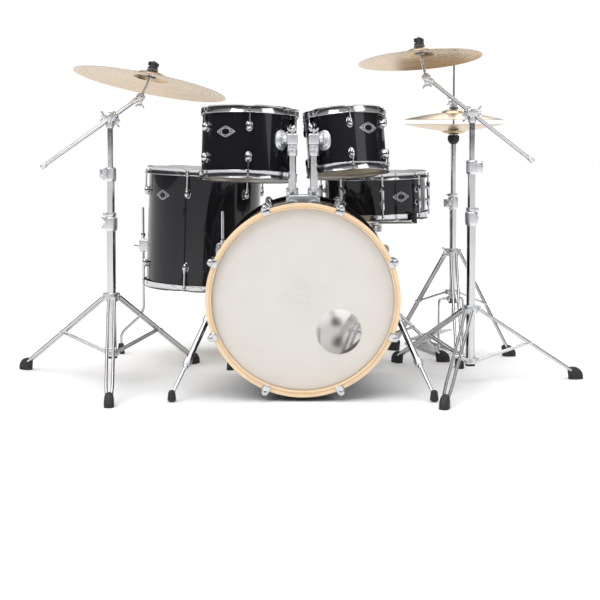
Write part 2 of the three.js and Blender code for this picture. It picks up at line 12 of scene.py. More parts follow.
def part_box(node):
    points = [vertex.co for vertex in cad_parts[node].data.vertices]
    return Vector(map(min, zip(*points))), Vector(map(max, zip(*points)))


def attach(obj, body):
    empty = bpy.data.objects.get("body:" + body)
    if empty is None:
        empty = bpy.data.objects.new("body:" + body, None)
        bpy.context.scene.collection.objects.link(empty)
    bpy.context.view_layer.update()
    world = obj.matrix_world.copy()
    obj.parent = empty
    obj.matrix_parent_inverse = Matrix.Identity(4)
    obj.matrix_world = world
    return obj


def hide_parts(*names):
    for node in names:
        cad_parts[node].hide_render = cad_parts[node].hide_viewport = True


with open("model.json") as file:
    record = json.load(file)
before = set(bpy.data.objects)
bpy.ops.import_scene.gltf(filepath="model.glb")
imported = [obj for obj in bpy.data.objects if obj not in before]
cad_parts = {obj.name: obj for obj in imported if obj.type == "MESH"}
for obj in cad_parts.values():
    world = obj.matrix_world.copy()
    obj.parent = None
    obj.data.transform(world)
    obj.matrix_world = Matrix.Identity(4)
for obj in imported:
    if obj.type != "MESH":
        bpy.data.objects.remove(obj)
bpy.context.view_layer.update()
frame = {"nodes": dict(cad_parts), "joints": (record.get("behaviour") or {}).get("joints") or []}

bl_info = {
    "name": "Acoustic Drum Kit",
    "version": (1, 0, 0),
    "blender": (4, 5, 0),
    "location": "View3D > Sidebar > Drum Kit",
    "description": "Builds an acoustic drum kit with stands, pedals and throne round its frame",
    "category": "Add Mesh",
}

UP = Vector((0, 0, 1))
TURN = 2 * math.pi
ROUND = 112  # sides of a drum, hoop or cymbal
TUBE = 24  # sides of a stand tube
FIT = 0.0004  # gap between faces that touch
FILM = 0.0012  # head film in the frame
FLESH = 0.0034  # from shell to the outside of a head's flesh hoop
BASS_FLESH = 0.0064
SHELL_WALL = 0.0075


# ---- sizes and colours a user would change ----
def size(name, default, description):
    return FloatProperty(name=name, default=default, min=0, description=description, unit="LENGTH", precision=4)


def colour(name, default, description):
    return FloatVectorProperty(name=name, default=default, size=3, min=0, max=1, subtype="COLOR",
            description=description)


class DrumKitSizes(bpy.types.PropertyGroup):
    """Sizes of the fittings that are drawn round the frame."""
    tension_rod: size("Tension rod", 0.0029, "Radius of a tension rod")
    lug_width: size("Lug width", 0.0175, "Width of a tom lug")
    lug_height: size("Lug height", 0.03, "Height of a tom lug")
    lug_stand: size("Lug stand-off", 0.014, "How far a lug stands off its shell")
    hoop_sheet: size("Hoop sheet", 0.0022, "Thickness of the pressed steel hoops")
    hoop_ear: size("Hoop ear", 0.0065, "How far a hoop's flange swells at a tension rod")
    badge_width: size("Badge width", 0.066, "Width of the shell badge")
    badge_height: size("Badge height", 0.036, "Height of the shell badge")
    leg_bar: size("Leg bar", 0.0052, "Radius of each of a stand leg's two bars")
    leg_spacing: size("Leg spacing", 0.02, "Distance between a leg's two bars")
    brace_bar: size("Brace bar", 0.0036, "Radius of a stand's brace bars")
    foot_width: size("Foot width", 0.031, "Width of a stand's rubber foot")
    foot_length: size("Foot length", 0.05, "Length of a stand's rubber foot")
    wing_span: size("Wing span", 0.04, "Width of a wing bolt")
    cymbal_sheet: size("Cymbal thickness", 0.0014, "Thickness of a cymbal")


class DrumKitFinishes(bpy.types.PropertyGroup):
    wrap: colour("Shell wrap", (0.008, 0.008, 0.011), "Gloss wrap of the shells")
    maple: colour("Maple", (0.80, 0.60, 0.38), "Clear-coated maple hoops")
    ply: colour("Bare ply", (0.66, 0.45, 0.26), "Inside of the shells")
    chrome: colour("Chrome", (0.60, 0.605, 0.62), "Chrome plate")
    cast: colour("Cast metal", (0.47, 0.475, 0.49), "Cast and pressed fittings")
    silver: colour("Badge silver", (0.62, 0.63, 0.65), "Raised lines of the badges")
    bronze: colour("Bronze", (0.56, 0.43, 0.275), "Cymbal bronze")
    coated: colour("Coated film", (0.66, 0.635, 0.60), "Rough white coating of the heads")
    clear: colour("Clear film", (0.93, 0.92, 0.89), "Uncoated film of the bass drum's batter head")
    amber: colour("Amber film", (0.70, 0.59, 0.40), "Uncoated film of the lower tom heads, over bare wood")
    rubber: colour("Rubber", (0.016, 0.016, 0.016), "Feet, grips and cups")
    felt: colour("Felt", (0.02, 0.02, 0.022), "Felt washers")
    vinyl: colour("Vinyl", (0.012, 0.012, 0.013), "Throne cover")
    floor: colour("Floor", (0.93, 0.93, 0.93), "Studio floor")


def sizes():
    return bpy.context.scene.drum_kit_sizes


def finishes():
    return bpy.context.scene.drum_kit_finishes


# ---- what the frame says ----
def vertices(node):
    mesh = frame["nodes"][node].data
    flat = np.empty(3 * len(mesh.vertices))
    mesh.vertices.foreach_get("co", flat)
    return flat.reshape(-1, 3)


def middle(node):
    low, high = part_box(node)
    return (Vector(low) + Vector(high)) / 2


def high_z(node):
    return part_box(node)[1][2]


def mean(node):
    """The mean of a turned node's distinct vertices, which lies on its axis."""
    return Vector(np.unique(vertices(node).round(5), axis=0).mean(axis=0))


def joint(name):
    return next(j for j in frame["joints"] if j["name"] == name)


def pivot(name):
    return Vector(joint(name)["pos_m"])


def top_end(node):
    """Middle of a rod's upper end."""
    ends = [Vector(v) for v in np.unique(vertices(node).round(6), axis=0) if v[2] > high_z(node) - 0.002]
    return sum(ends, Vector()) / len(ends)


def feet_of(node):
    """Middle of each separate patch of a node that stands on the floor."""
    on_floor = [Vector(v) for v in vertices(node) if v[2] < 0.0005]
    patches = []
    for point in on_floor:
        near = next((p for p in patches if (p[0] - point).length < 0.045), None)
        if near is None:
            patches.append([point])
        else:
            near.append(point)
    return [(Vector(map(min, *p)) + Vector(map(max, *p))) / 2 if len(p) > 1 else p[0] for p in patches]


def frame_along(origin, axis, towards=Vector((1, 0, 0))):
    """A matrix at origin with +Z along axis and +X as near as it can be to towards."""
    z = Vector(axis).normalized()
    x = Vector(towards) - z * Vector(towards).dot(z)
    if x.length < 1e-6:
        x = z.orthogonal()
    x.normalize()
    y = z.cross(x)
    turn = Matrix((x, y, z)).transposed().to_4x4()
    return Matrix.Translation(origin) @ turn


class Drum:
    """Where one drum is: its own frame (+Z to the batter head), radius and depth."""

    def __init__(self, batter, top, bottom, flesh=FLESH):
        start, end = mean(bottom), mean(top)
        axis = (end - start).normalized()
        self.matrix = frame_along((start + end) / 2, axis)
        inverse = self.matrix.inverted()
        local = [inverse @ Vector(v) for v in vertices(batter)]
        self.radius = max(math.hypot(p.x, p.y) for p in local) - flesh
        self.depth = 2 * (max(p.z for p in local) - FIT - FILM)

    def upright(self, azimuth, radius):
        """In the drum's own frame: a place beside the shell, +X outwards and +Z to the batter head.

        Azimuth is in degrees from the side the audience sees, or from the top of the bass drum."""
        return Matrix.Rotation(math.radians(azimuth - 90), 4, "Z") @ at(radius, 0, 0)

    def face(self, azimuth, z, radius=None):
        """In the drum's own frame: a place on the shell, +Z outwards and +Y to the batter head."""
        outwards = Matrix(((0, 0, 1, 0), (1, 0, 0, 0), (0, 1, 0, z), (0, 0, 0, 1)))
        return self.upright(azimuth, radius or self.radius) @ outwards

    def azimuth_of(self, point):
        local = self.matrix.inverted() @ Vector(point)
        return math.degrees(math.atan2(local.y, local.x)) + 90, local.z


# ---- shapes ----
def compass(count):
    """Cosine and sine at equal steps round a circle."""
    return [(math.cos(TURN * i / count), math.sin(TURN * i / count)) for i in range(count)]


def squared(c, s, power):
    """How far a rounded square reaches in a direction, where a circle reaches 1."""
    return (abs(c) ** power + abs(s) ** power) ** (-1 / power)


def at(x, y, z):
    return Matrix.Translation((x, y, z))


def corner_points(corner, back, on, radius, steps):
    """A corner rounded off between its two sides, given as vectors away from it."""
    cut = min(radius, 0.45 * back.length, 0.45 * on.length)
    first, last = corner + back.normalized() * cut, corner + on.normalized() * cut
    shares = [step / steps for step in range(steps + 1)]
    return [(1 - t) ** 2 * first + 2 * t * (1 - t) * corner + t * t * last for t in shares]


def rounded(outline, radius, steps=3, closed=True):
    """A 2-D outline with its corners rounded off."""
    points = [Vector(p) for p in outline]
    result = []
    for i, corner in enumerate(points):
        if not closed and i in (0, len(points) - 1):
            result.append(corner)
            continue
        back, on = points[i - 1] - corner, points[(i + 1) % len(points)] - corner
        result += corner_points(corner, back, on, radius, steps)
    return result


def smooth_path(points, radius=0.02, steps=5):
    """A 3-D path with its bends rounded off."""
    points = [Vector(p) for p in points]
    result = [points[0]]
    for before, corner, after in zip(points, points[1:], points[2:]):
        result += corner_points(corner, before - corner, after - corner, radius, steps)
    return result + [points[-1]]


# how far each row of a casting reaches and how high it stands, as shares
DOME_ROWS = ((1, 0), (1, 0.42), (0.96, 0.62), (0.86, 0.8), (0.7, 0.92), (0.45, 0.985), (0.001, 1))


class Shape:
    """The mesh of one piece while it is made; its place becomes the object's own frame."""

    def __init__(self, place=None):
        self.place = place or Matrix()
        self.bm = bmesh.new()
        self.uv = self.bm.loops.layers.uv.new("Surface")
        self.paint = 0

    def skin(self, rows, matrix=None, closed=False, wrap=True, caps=(False, False)):
        """Faces between rows of points; closed joins the last row to the first, wrap each row's ends."""
        matrix = matrix or Matrix()
        grid = [[self.bm.verts.new(matrix @ p) for p in row] for row in rows]
        count = len(rows[0])
        around = max(sum((row[i] - row[i - 1]).length for i in range(count)) for row in rows)
        down = [0.0]
        for above, below in zip(rows, rows[1:] + rows[:1]):
            down.append(down[-1] + max((above[0] - below[0]).length,
                    (above[count // 2] - below[count // 2]).length))
        for i in range(len(rows) if closed else len(rows) - 1):
            for k in range(count if wrap else count - 1):
                corners = ((i, k), (i, k + 1), (i + 1, k + 1), (i + 1, k))
                face = self.bm.faces.new([grid[a % len(rows)][b % count] for a, b in corners])
                face.material_index = self.paint
                for loop, (a, b) in zip(face.loops, corners):
                    loop[self.uv].uv = (around * b / count, down[a])
        for cap, row in zip(caps, (grid[0], grid[-1])):
            if cap:
                self.bm.faces.new(row).material_index = self.paint

    def lathe(self, profile, matrix=None, sides=ROUND, closed=False, form=None):
        """Turns (radius, height) points round Z; form(angle, radius, height) may reshape them."""
        rows = []
        for radius, z in profile:
            row = [Vector((max(radius, 1e-7) * c, max(radius, 1e-7) * s, z)) for c, s in compass(sides)]
            if form:
                reshaped = [(*form(TURN * i / sides, radius, z), TURN * i / sides) for i in range(sides)]
                row = [Vector((r * math.cos(a), r * math.sin(a), h)) for r, h, a in reshaped]
            rows.append(row)
        self.skin(rows, matrix, closed)

    def turned(self, outline, edge, matrix=None, sides=TUBE, steps=2):
        """Turns an outline with rounded corners; one that starts on the axis stays open there."""
        hollow = outline[0][0] > 0
        self.lathe(rounded(outline, edge, steps, closed=hollow), matrix, sides, closed=hollow)

    def ring(self, inner, outer, low, high, edge, matrix=None, sides=TUBE, steps=2):
        """A turned ring between two radii and two heights; a disc where inner is 0."""
        self.turned([(inner, low), (outer, low), (outer, high), (inner, high)], edge, matrix, sides, steps)

    def teeth(self, count, radius, height, size, matrix, bevel):
        """Small blocks in a ring round Z, as on a toothed clamp."""
        for i in range(count):
            turn = Matrix.Rotation(TURN * i / count, 4, "Z")
            self.block(size, matrix @ turn @ at(radius, 0, height), bevel, 1)

    def rod(self, matrix, low, high, radius, sides):
        """A straight bar along Z."""
        self.tube([matrix @ Vector((0, 0, low)), matrix @ Vector((0, 0, high))], radius, sides)

    def tube(self, points, radius, sides=TUBE, radii=None):
        """A round bar along a path with slightly softened ends."""
        points = [Vector(p) for p in points]
        ahead = [(b - a).normalized() for a, b in zip(points, points[1:])]
        along = [ahead[0]] + [(a + b).normalized() for a, b in zip(ahead, ahead[1:])] + [ahead[-1]]
        side = ahead[0].orthogonal()
        radii = radii or [radius] * len(points)
        soft = min(0.18 * radii[0], 0.0015)
        stations = [(points[0], along[0], radii[0] - soft), (points[0] + along[0] * soft, along[0], radii[0])]
        stations += list(zip(points[1:-1], along[1:-1], radii[1:-1]))
        stations += [(points[-1] - along[-1] * soft, along[-1], radii[-1]),
                (points[-1], along[-1], radii[-1] - soft)]
        rows = []
        for point, axis, reach in stations:
            side = (side - axis * side.dot(axis)).normalized()
            across = axis.cross(side)
            rows.append([point + reach * (side * c + across * s) for c, s in compass(sides)])
        self.skin(rows, caps=(True, True))

    def merge(self, other, matrix):
        copies = {v: self.bm.verts.new(matrix @ v.co) for v in other.verts}
        for face in other.faces:
            made = self.bm.faces.new([copies[v] for v in face.verts])
            made.material_index = self.paint
            normal = [abs(c) for c in face.normal]
            flat = [i for i in range(3) if i != normal.index(max(normal))]
            for loop, source in zip(made.loops, face.loops):
                loop[self.uv].uv = (source.vert.co[flat[0]], source.vert.co[flat[1]])
        other.free()

    def prism(self, outline, depth, matrix=None, bevel=0.001, steps=2):
        """A flat outline (x, y) raised along Z from 0 to depth, with rounded edges."""
        part = bmesh.new()
        foot = part.faces.new([part.verts.new((x, y, 0)) for x, y in outline])
        raised = bmesh.ops.extrude_face_region(part, geom=[foot])["geom"]
        bmesh.ops.translate(part, vec=(0, 0, depth), verts=[v for v in raised if isinstance(v,
                bmesh.types.BMVert)])
        bmesh.ops.recalc_face_normals(part, faces=part.faces)
        if bevel:
            rims = [e for e in part.edges if abs(e.verts[0].co.z - e.verts[1].co.z) < depth / 2]
            bmesh.ops.bevel(part, geom=rims, offset=bevel, segments=steps, affect="EDGES", profile=0.6)
        part.normal_update()
        self.merge(part, matrix or Matrix())

    def block(self, size, matrix=None, bevel=0.0015, steps=2):
        """A box with its middle at the origin and all edges rounded."""
        part = bmesh.new()
        bmesh.ops.create_cube(part, size=1)
        bmesh.ops.scale(part, vec=size, verts=part.verts)
        bmesh.ops.bevel(part, geom=part.edges[:], offset=bevel, segments=steps, affect="EDGES", profile=0.6)
        part.normal_update()
        self.merge(part, matrix or Matrix())

    def dome(self, width, height, stand, matrix, power=2.0, sides=40):
        """A casting with an oval outline in X and Y that rises to a rounded crown along Z."""
        rows = []
        for share, rise in DOME_ROWS:
            row = []
            for c, s in compass(sides):
                reach = share * squared(c, s, power)
                row.append(Vector((reach * c * width / 2, reach * s * height / 2, rise * stand)))
            rows.append(row)
        self.skin(rows, matrix, caps=(True, False))

    def hexagon(self, across, depth, matrix, bevel=0.0006):
        self.prism([(across / math.sqrt(3) * c, across / math.sqrt(3) * s) for c, s in compass(6)], depth,
                matrix, bevel)

    def thread(self, start, end, radius, pitch=0.0018, sides=16):
        """A threaded rod: a bar whose radius rises and falls at each turn of the thread."""
        start, end = Vector(start), Vector(end)
        turns = max(2, int((end - start).length / pitch))
        stations = [start.lerp(end, i / (2 * turns)) for i in range(2 * turns + 1)]
        radii = [radius * (1 if i % 2 else 0.86) for i in range(len(stations))]
        self.tube(stations, radius, sides, radii=radii)

    def wing_bolt(self, matrix, span, shank=0.012, stem=0.003):
        """A wing screw: shank along -Z into its boss, collar at the origin, two wings above."""
        self.rod(matrix, -shank, 0.002, stem, 12)
        self.lathe([(0, 0), (span * 0.17, 0), (span * 0.18, span * 0.1), (span * 0.13, span * 0.28),
                (0, span * 0.32)], matrix, 20)
        half = span / 2
        for side in (1, -1):
            outline = [(0.1 * half, 0.0), (0.55 * half, 0.12 * half), (half, 0.55 * half),
                    (0.98 * half, 0.86 * half), (0.78 * half, 0.92 * half), (0.4 * half, 0.5 * half),
                    (0.05 * half, 0.5 * half)]
            outline = [(side * x, y) for x, y in outline]
            stand = matrix @ Matrix.Rotation(math.pi / 2, 4, "X") @ at(0, 0, -0.0022)
            self.prism(rounded(outline, 0.12 * half), 0.0044, stand, 0.0012)

    def done(self, name, coats, body, *nodes, slot=None):
        """Makes the object, gives it its finishes, and puts it on its body in place of these nodes."""
        bmesh.ops.remove_doubles(self.bm, verts=self.bm.verts, dist=1e-6)
        bmesh.ops.dissolve_degenerate(self.bm, dist=1e-7, edges=self.bm.edges)
        bmesh.ops.recalc_face_normals(self.bm, faces=self.bm.faces)
        for edge in self.bm.edges:
            edge.smooth = len(edge.link_faces) != 2 or edge.calc_face_angle() < math.radians(38)
        for face in self.bm.faces:
            face.smooth = True
        mesh = bpy.data.meshes.new(name)
        self.bm.to_mesh(mesh)
        self.bm.free()
        for coat in coats if isinstance(coats, (list, tuple)) else [coats]:
            mesh.materials.append(coat_named(coat))
        piece = bpy.data.objects.new(name, mesh)
        piece.matrix_world = self.place
        bpy.context.collection.objects.link(piece)
        bpy.context.view_layer.update()
        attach(piece, body)
        if nodes:
            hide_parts(*nodes)
        return piece


def level(degrees):
    """A level direction, in degrees from +X towards +Y."""
    return Vector((math.cos(math.radians(degrees)), math.sin(math.radians(degrees)), 0))


def turned_about(axis, degrees):
    return Matrix.Rotation(math.radians(degrees), 4, axis)


def spot(x, y, z):
    """A point measured in metres from below the middle of the bass drum's front hoop."""
    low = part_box("bass_front_hoop")[0]
    return Vector((middle("bass_front_hoop").x + x, low[1] + y, z))


# ---- finishes ----
class Coat:
    """A material's node tree, with short ways to add and join nodes."""

    def __init__(self, name, colour, **sockets):
        self.colour = colour
        self.material = bpy.data.materials.new(name)
        self.material.use_nodes = True
        self.tree = self.material.node_tree
        self.shader = self.tree.nodes["Principled BSDF"]
        self.plug(self.shader, **sockets)

    def fill(self, socket, value):
        """Joins a socket to another one, or sets its number."""
        if isinstance(value, bpy.types.NodeSocket):
            self.tree.links.new(value, socket)
        else:
            socket.default_value = value

    def plug(self, node, **sockets):
        for key, value in sockets.items():
            self.fill(node.inputs[key.replace("_", " ")], value)
        return node

    def new(self, kind, settings=(), **sockets):
        node = self.tree.nodes.new("ShaderNode" + kind)
        for key, value in settings:
            setattr(node, key, value)
        return self.plug(node, **sockets)

    def where(self, kind="Object", stretch=(1, 1, 1)):
        """Object or surface coordinates in metres, stretched along each axis."""
        place = self.new("TexCoord").outputs[kind]
        return self.new("Mapping", Vector=place, Scale=stretch).outputs["Vector"]

    def noise(self, scale, detail=3.0, kind="Object", stretch=(1, 1, 1), roughness=0.5, warp=0.0):
        node = self.new("TexNoise", Vector=self.where(kind, stretch), Scale=scale, Detail=detail,
                Roughness=roughness, Distortion=warp)
        return node.outputs["Fac"]

    def between(self, value, low, high, start=0.3, end=0.7):
        """Maps a texture value from start..end to low..high."""
        node = self.new("MapRange", Value=value)
        for key, number in (("From Min", start), ("From Max", end), ("To Min", low), ("To Max", high)):
            node.inputs[key].default_value = number
        return node.outputs["Result"]

    def mixed(self, share, first, second):
        node = self.new("Mix", [("data_type", "RGBA")])
        self.fill(node.inputs[0], share)
        self.fill(node.inputs[6], first)
        self.fill(node.inputs[7], second)
        return node.outputs[2]

    def tint(self, share, low, high):
        """The finish's colour, from low to high times as bright."""
        return self.mixed(share, shade(self.colour, low), shade(self.colour, high))

    def add(self, first, second, operation="ADD"):
        node = self.new("Math", [("operation", operation)])
        self.fill(node.inputs[0], first)
        self.fill(node.inputs[1], second)
        return node.outputs[0]

    def finished(self, tone, roughness, height, strength, distance):
        """Sets the shader's colour, roughness and bumps, and gives the material."""
        bumps = self.new("Bump", Height=height, Strength=strength, Distance=distance).outputs["Normal"]
        self.plug(self.shader, Base_Color=tone, Roughness=roughness, Normal=bumps)
        return self.material


def shade(colour, factor):
    return (*(min(1.0, c * factor) for c in colour), 1.0)


def gloss_wrap(name, colour):
    coat = Coat(name, colour, Coat_Weight=0.55, Coat_Roughness=0.02, IOR=1.5, Specular_IOR_Level=0.12)
    haze = coat.noise(9, 4)
    wipes = coat.noise(60, 5, stretch=(1, 1, 6), warp=0.6)
    return coat.finished(coat.tint(haze, 0.8, 1.5), coat.between(wipes, 0.1, 0.2), coat.noise(240, 2), 0.05,
            0.0004)


def maple(name, colour):
    coat = Coat(name, colour, Coat_Weight=0.55, Coat_Roughness=0.12)
    grain = coat.noise(1, 6, "UV", (5, 210, 1), 0.62, 0.9)
    pores = coat.noise(1, 2, "UV", (60, 1500, 1))
    flame = coat.noise(1, 2, "UV", (34, 6, 1))
    tone = coat.tint(coat.between(grain, 0, 1), 0.8, 1.12)
    tone = coat.mixed(coat.between(flame, 0, 0.35), tone, shade(colour, 1.2))
    tone = coat.mixed(coat.between(pores, 0, 0.55, 0.58, 0.8), tone, shade(colour, 0.5))
    return coat.finished(tone, coat.between(grain, 0.28, 0.42), coat.add(grain, pores), 0.16, 0.0003)


def plated(name, colour):
    coat = Coat(name, colour, Metallic=1.0)
    smudges = coat.noise(38, 5, warp=0.8)
    specks = coat.noise(900, 2)
    return coat.finished(coat.tint(smudges, 0.9, 1.06), coat.add(coat.between(smudges, 0.05, 0.15),
            coat.between(specks, 0, 0.05, 0.6, 0.8)), coat.noise(55, 2), 0.02, 0.0004)


def cast(name, colour):
    coat = Coat(name, colour, Metallic=1.0)
    skin = coat.noise(420, 5)
    wear = coat.noise(30, 4, warp=0.5)
    return coat.finished(coat.tint(wear, 0.82, 1.1), coat.between(wear, 0.12, 0.26), skin, 0.16, 0.0003)


def silvered(name, colour):
    coat = Coat(name, colour, Metallic=0.35)
    wear = coat.noise(60, 4)
    coat.plug(coat.shader, Base_Color=coat.tint(wear, 0.96, 1.02), Roughness=coat.between(wear, 0.3, 0.42))
    return coat.material


def bronze(name, colour):
    coat = Coat(name, colour, Metallic=1.0)
    grooves = coat.noise(1, 3, "UV", (2, 1300, 1), 0.7)
    bands = coat.noise(1, 2, "UV", (1.5, 120, 1))
    tarnish = coat.noise(14, 5, warp=1.2)
    hammer = coat.new("TexVoronoi", Vector=coat.where(), Scale=62.0).outputs["Distance"]
    tone = coat.tint(coat.between(bands, 0, 1), 0.86, 1.07)
    tone = coat.mixed(coat.between(tarnish, 0, 0.4, 0.45, 0.75), tone, shade((0.62, 0.4, 0.2), 1))
    tone = coat.mixed(coat.between(grooves, 0, 0.22), tone, shade(colour, 0.6))
    height = coat.add(coat.add(grooves, 0.5, "MULTIPLY"), coat.add(hammer, 0.35, "MULTIPLY"))
    return coat.finished(tone, coat.between(bands, 0.22, 0.36), height, 0.13, 0.0004)


def coated_film(name, colour):
    coat = Coat(name, colour, Sheen_Weight=0.15)
    grit = coat.noise(1500, 3)
    clouds = coat.noise(16, 5)
    flat = coat.where(stretch=(1, 1, 0))
    reach = coat.new("VectorMath", [("operation", "LENGTH")], Vector=flat).outputs["Value"]
    struck = coat.between(coat.add(reach, coat.between(clouds, -0.03, 0.03)), 1, 0, 0.02, 0.1)
    marks = coat.add(struck, coat.between(coat.noise(330, 4, warp=1.5), 0, 1, 0.52, 0.66), "MULTIPLY")
    tone = coat.tint(clouds, 0.95, 1.04)
    tone = coat.mixed(coat.add(marks, 0.35, "MULTIPLY"), tone, shade(colour, 0.45))
    return coat.finished(tone, coat.between(clouds, 0.58, 0.72), grit, 0.28, 0.0003)


def clear_film(name, colour):
    coat = Coat(name, colour, Transmission_Weight=0.96 if name.startswith("clear") else 0.2, IOR=1.4,
            Coat_Weight=0.3, Coat_Roughness=0.08)
    clouds = coat.noise(11, 4)
    return coat.finished(coat.tint(clouds, 0.93, 1.05), coat.between(clouds, 0.12,
            0.22) if name.startswith("clear") else coat.between(clouds, 0.16, 0.28), coat.noise(30, 3), 0.04,
            0.0006)


def moulded(name, colour, gloss=0.55):
    coat = Coat(name, colour)
    skin = coat.noise(700, 4)
    dust = coat.noise(45, 5)
    return coat.finished(coat.tint(coat.between(dust, 0, 0.5, 0.45, 0.8), 1, 3),
            coat.between(dust, gloss, gloss + 0.2), skin, 0.3, 0.0004)


def felted(name, colour):
    coat = Coat(name, colour, Sheen_Weight=0.8, Sheen_Roughness=0.6)
    fibres = coat.noise(850, 6, roughness=0.75, warp=2.0)
    return coat.finished(coat.tint(fibres, 0.6, 2.4), 0.95, fibres, 0.7, 0.0012)


def leathercloth(name, colour):
    coat = Coat(name, colour, Sheen_Weight=0.12, IOR=1.47)
    pebbles = coat.new("TexVoronoi", [("feature", "SMOOTH_F1")], Vector=coat.where(),
            Scale=420.0).outputs["Distance"]
    creases = coat.noise(26, 5, warp=1.0)
    return coat.finished(coat.tint(creases, 0.8, 2.0), coat.between(creases, 0.36, 0.52),
            coat.add(pebbles, coat.add(creases, 0.6, "MULTIPLY")), 0.3, 0.0005)


def studio_paint(name, colour):
    coat = Coat(name, colour, Roughness=0.7)
    mottle = coat.noise(1.3, 4)
    coat.plug(coat.shader, Base_Color=coat.tint(mottle, 0.985, 1.01))
    return coat.material


COATS = {
    "wrap": (gloss_wrap, "black_gloss_wrap"),
    "maple": (maple, "clear_coated_maple"), "ply": (maple, "bare_ply"),
    "chrome": (plated, "chrome_plate"), "cast": (cast, "cast_metal"), "bronze": (bronze, "lathed_bronze"),
    "coated": (coated_film, "coated_head_film"), "clear": (clear_film, "clear_head_film"),
    "amber": (clear_film, "amber_head_film"), "silver": (silvered, "silvered_badge"),
    "rubber": (moulded, "black_rubber"), "felt": (felted, "black_felt"), "vinyl": (leathercloth, "seat_vinyl"),
    "floor": (studio_paint, "studio_floor"),
}


def coat_named(key):
    maker, name = COATS[key]
    return bpy.data.materials.get(name) or maker(name, getattr(finishes(), key))


# ---- drums ----
def hoop_profile(radius, drop, rise, sheet):
    """Cross-section of a pressed steel hoop round a head, heights from the bearing edge."""
    inside = radius + FLESH + FIT
    return rounded([(inside - 0.002, rise), (inside, rise - 0.002), (inside, -drop + sheet), (inside, -drop),
            (inside + sheet + 0.0025, -drop), (inside + sheet + 0.0025, -drop + sheet),
            (inside + sheet, -drop + sheet), (inside + sheet, rise - 0.001),
            (inside + sheet + 0.0022, rise + 0.0008), (inside, rise + 0.0012)], 0.0009, 2)


def steel_hoop(drum, end, azimuths, node, body, rise=0.013, drop=0.011):
    """A pressed hoop whose lower flange swells into an ear at each tension rod."""
    fit = sizes()
    flange = drum.radius + FLESH + FIT + fit.hoop_sheet

    def ears(angle, radius, height):
        swell = 0.0
        for azimuth in azimuths:
            away = abs((math.degrees(angle) + 90 - azimuth + 180) % 360 - 180) / 360 * TURN * drum.radius
            swell = max(swell, 0.5 + 0.5 * math.cos(math.pi * min(1, away / 0.026)))
        if radius > flange + 0.001 and height < 0:
            radius += (fit.hoop_ear + 0.003) * swell
        if height > rise / 2:
            height -= 0.0022 * swell
        return radius, end * (drum.depth / 2 + height)

    shape = Shape(drum.matrix)
    shape.lathe(hoop_profile(drum.radius, drop, rise, fit.hoop_sheet), closed=True, sides=192, form=ears)
    return shape.done(node + "_steel", "chrome", body, node)


def head(drum, end, node, body, coat, film_slot):
    """A drum head: crowned film, collar over the bearing edge and the flesh hoop below it."""
    reach = drum.radius
    face = drum.depth / 2 + FIT
    profile = [(0, face + FILM + 0.0002), (reach * 0.5, face + FILM + 0.0002), (reach - 0.012, face + FILM),
            (reach - 0.0035, face + FILM - 0.0002), (reach + 0.0012, face + FILM - 0.0016),
            (reach + 0.0026, face - 0.001), (reach + FLESH - 0.0004, face - 0.0035),
            (reach + FLESH - 0.0004, face - 0.0075), (reach + 0.001, face - 0.0075),
            (reach + 0.0006, face - 0.0012), (reach - 0.004, face + 0.0003), (0, face + 0.0003)]
    shape = Shape(drum.matrix)
    shape.lathe([(r, end * z) for r, z in profile])
    return shape.done(node + "_film", coat, body, node, slot=film_slot)


def shell(drum, node, body, wall=SHELL_WALL):
    """A ply shell: gloss wrap outside, bare ply inside and on the cut bearing edges."""
    reach, half = drum.radius, drum.depth / 2
    shape = Shape(drum.matrix)
    shape.lathe([(reach - 0.0016, -half), (reach, -half + 0.0014), (reach, half - 0.0014),
            (reach - 0.0016, half)])
    shape.paint = 1
    shape.lathe([(reach - 0.0016, half), (reach - wall, half - 0.005), (reach - wall, -half + 0.005),
            (reach - 0.0016, -half)])
    return shape.done(node + "_wrapped", ("wrap", "ply"), body, node, slot="black_gloss_shell")


def oval_lugs(drum, name, azimuths, heights, body, scale=1.0, stand=None):
    """Oval cast lugs with a swivel-nut sleeve towards each hoop."""
    fit = sizes()
    width, height, stand = fit.lug_width * scale, fit.lug_height * scale, stand or fit.lug_stand
    shape = Shape(drum.matrix)
    for azimuth in azimuths:
        for z in heights:
            place = drum.face(azimuth, z)
            away = 1 if z > 0 else -1
            shape.dome(width + 0.004, height + 0.004, 0.0016, place, 2.0)
            shape.dome(width, height, stand + 0.0055, place, 2.2)
            sleeve = [place @ Vector((0, away * height * 0.2, stand)), place @ Vector((0,
                    away * (height * 0.5 + 0.006), stand))]
            shape.tube(sleeve, 0.0046, 18)
    return shape.done(f"{name}_oval_lugs", "chrome", body)


def tension_rods(drum, name, azimuths, ends, body, drop=0.011):
    """Threaded tension rods with washers and square key heads on the hoop ears."""
    fit = sizes()
    shape = Shape(drum.matrix)
    for azimuth in azimuths:
        for end, start in ends:
            ear = end * (drum.depth / 2 - drop + fit.hoop_sheet)
            centre = drum.radius + fit.lug_stand
            line = drum.upright(azimuth, centre)
            shape.rod(line, start, ear + end * 0.004, fit.tension_rod, 14)
            shape.lathe([(0, ear), (0.0058, ear), (0.0058, ear + end * 0.0016), (0, ear + end * 0.0018)], line,
                    18)
            shape.lathe([(0, ear + end * 0.0016), (0.0046, ear + end * 0.0016), (0.0046, ear + end * 0.0055),
                    (0.0036, ear + end * 0.0062), (0, ear + end * 0.0062)], line, 18)
            shape.block((0.0056, 0.0056, 0.008), line @ at(0, 0, ear + end * 0.0098), 0.0007)
    return shape.done(f"{name}_tension_rods", "chrome", body)


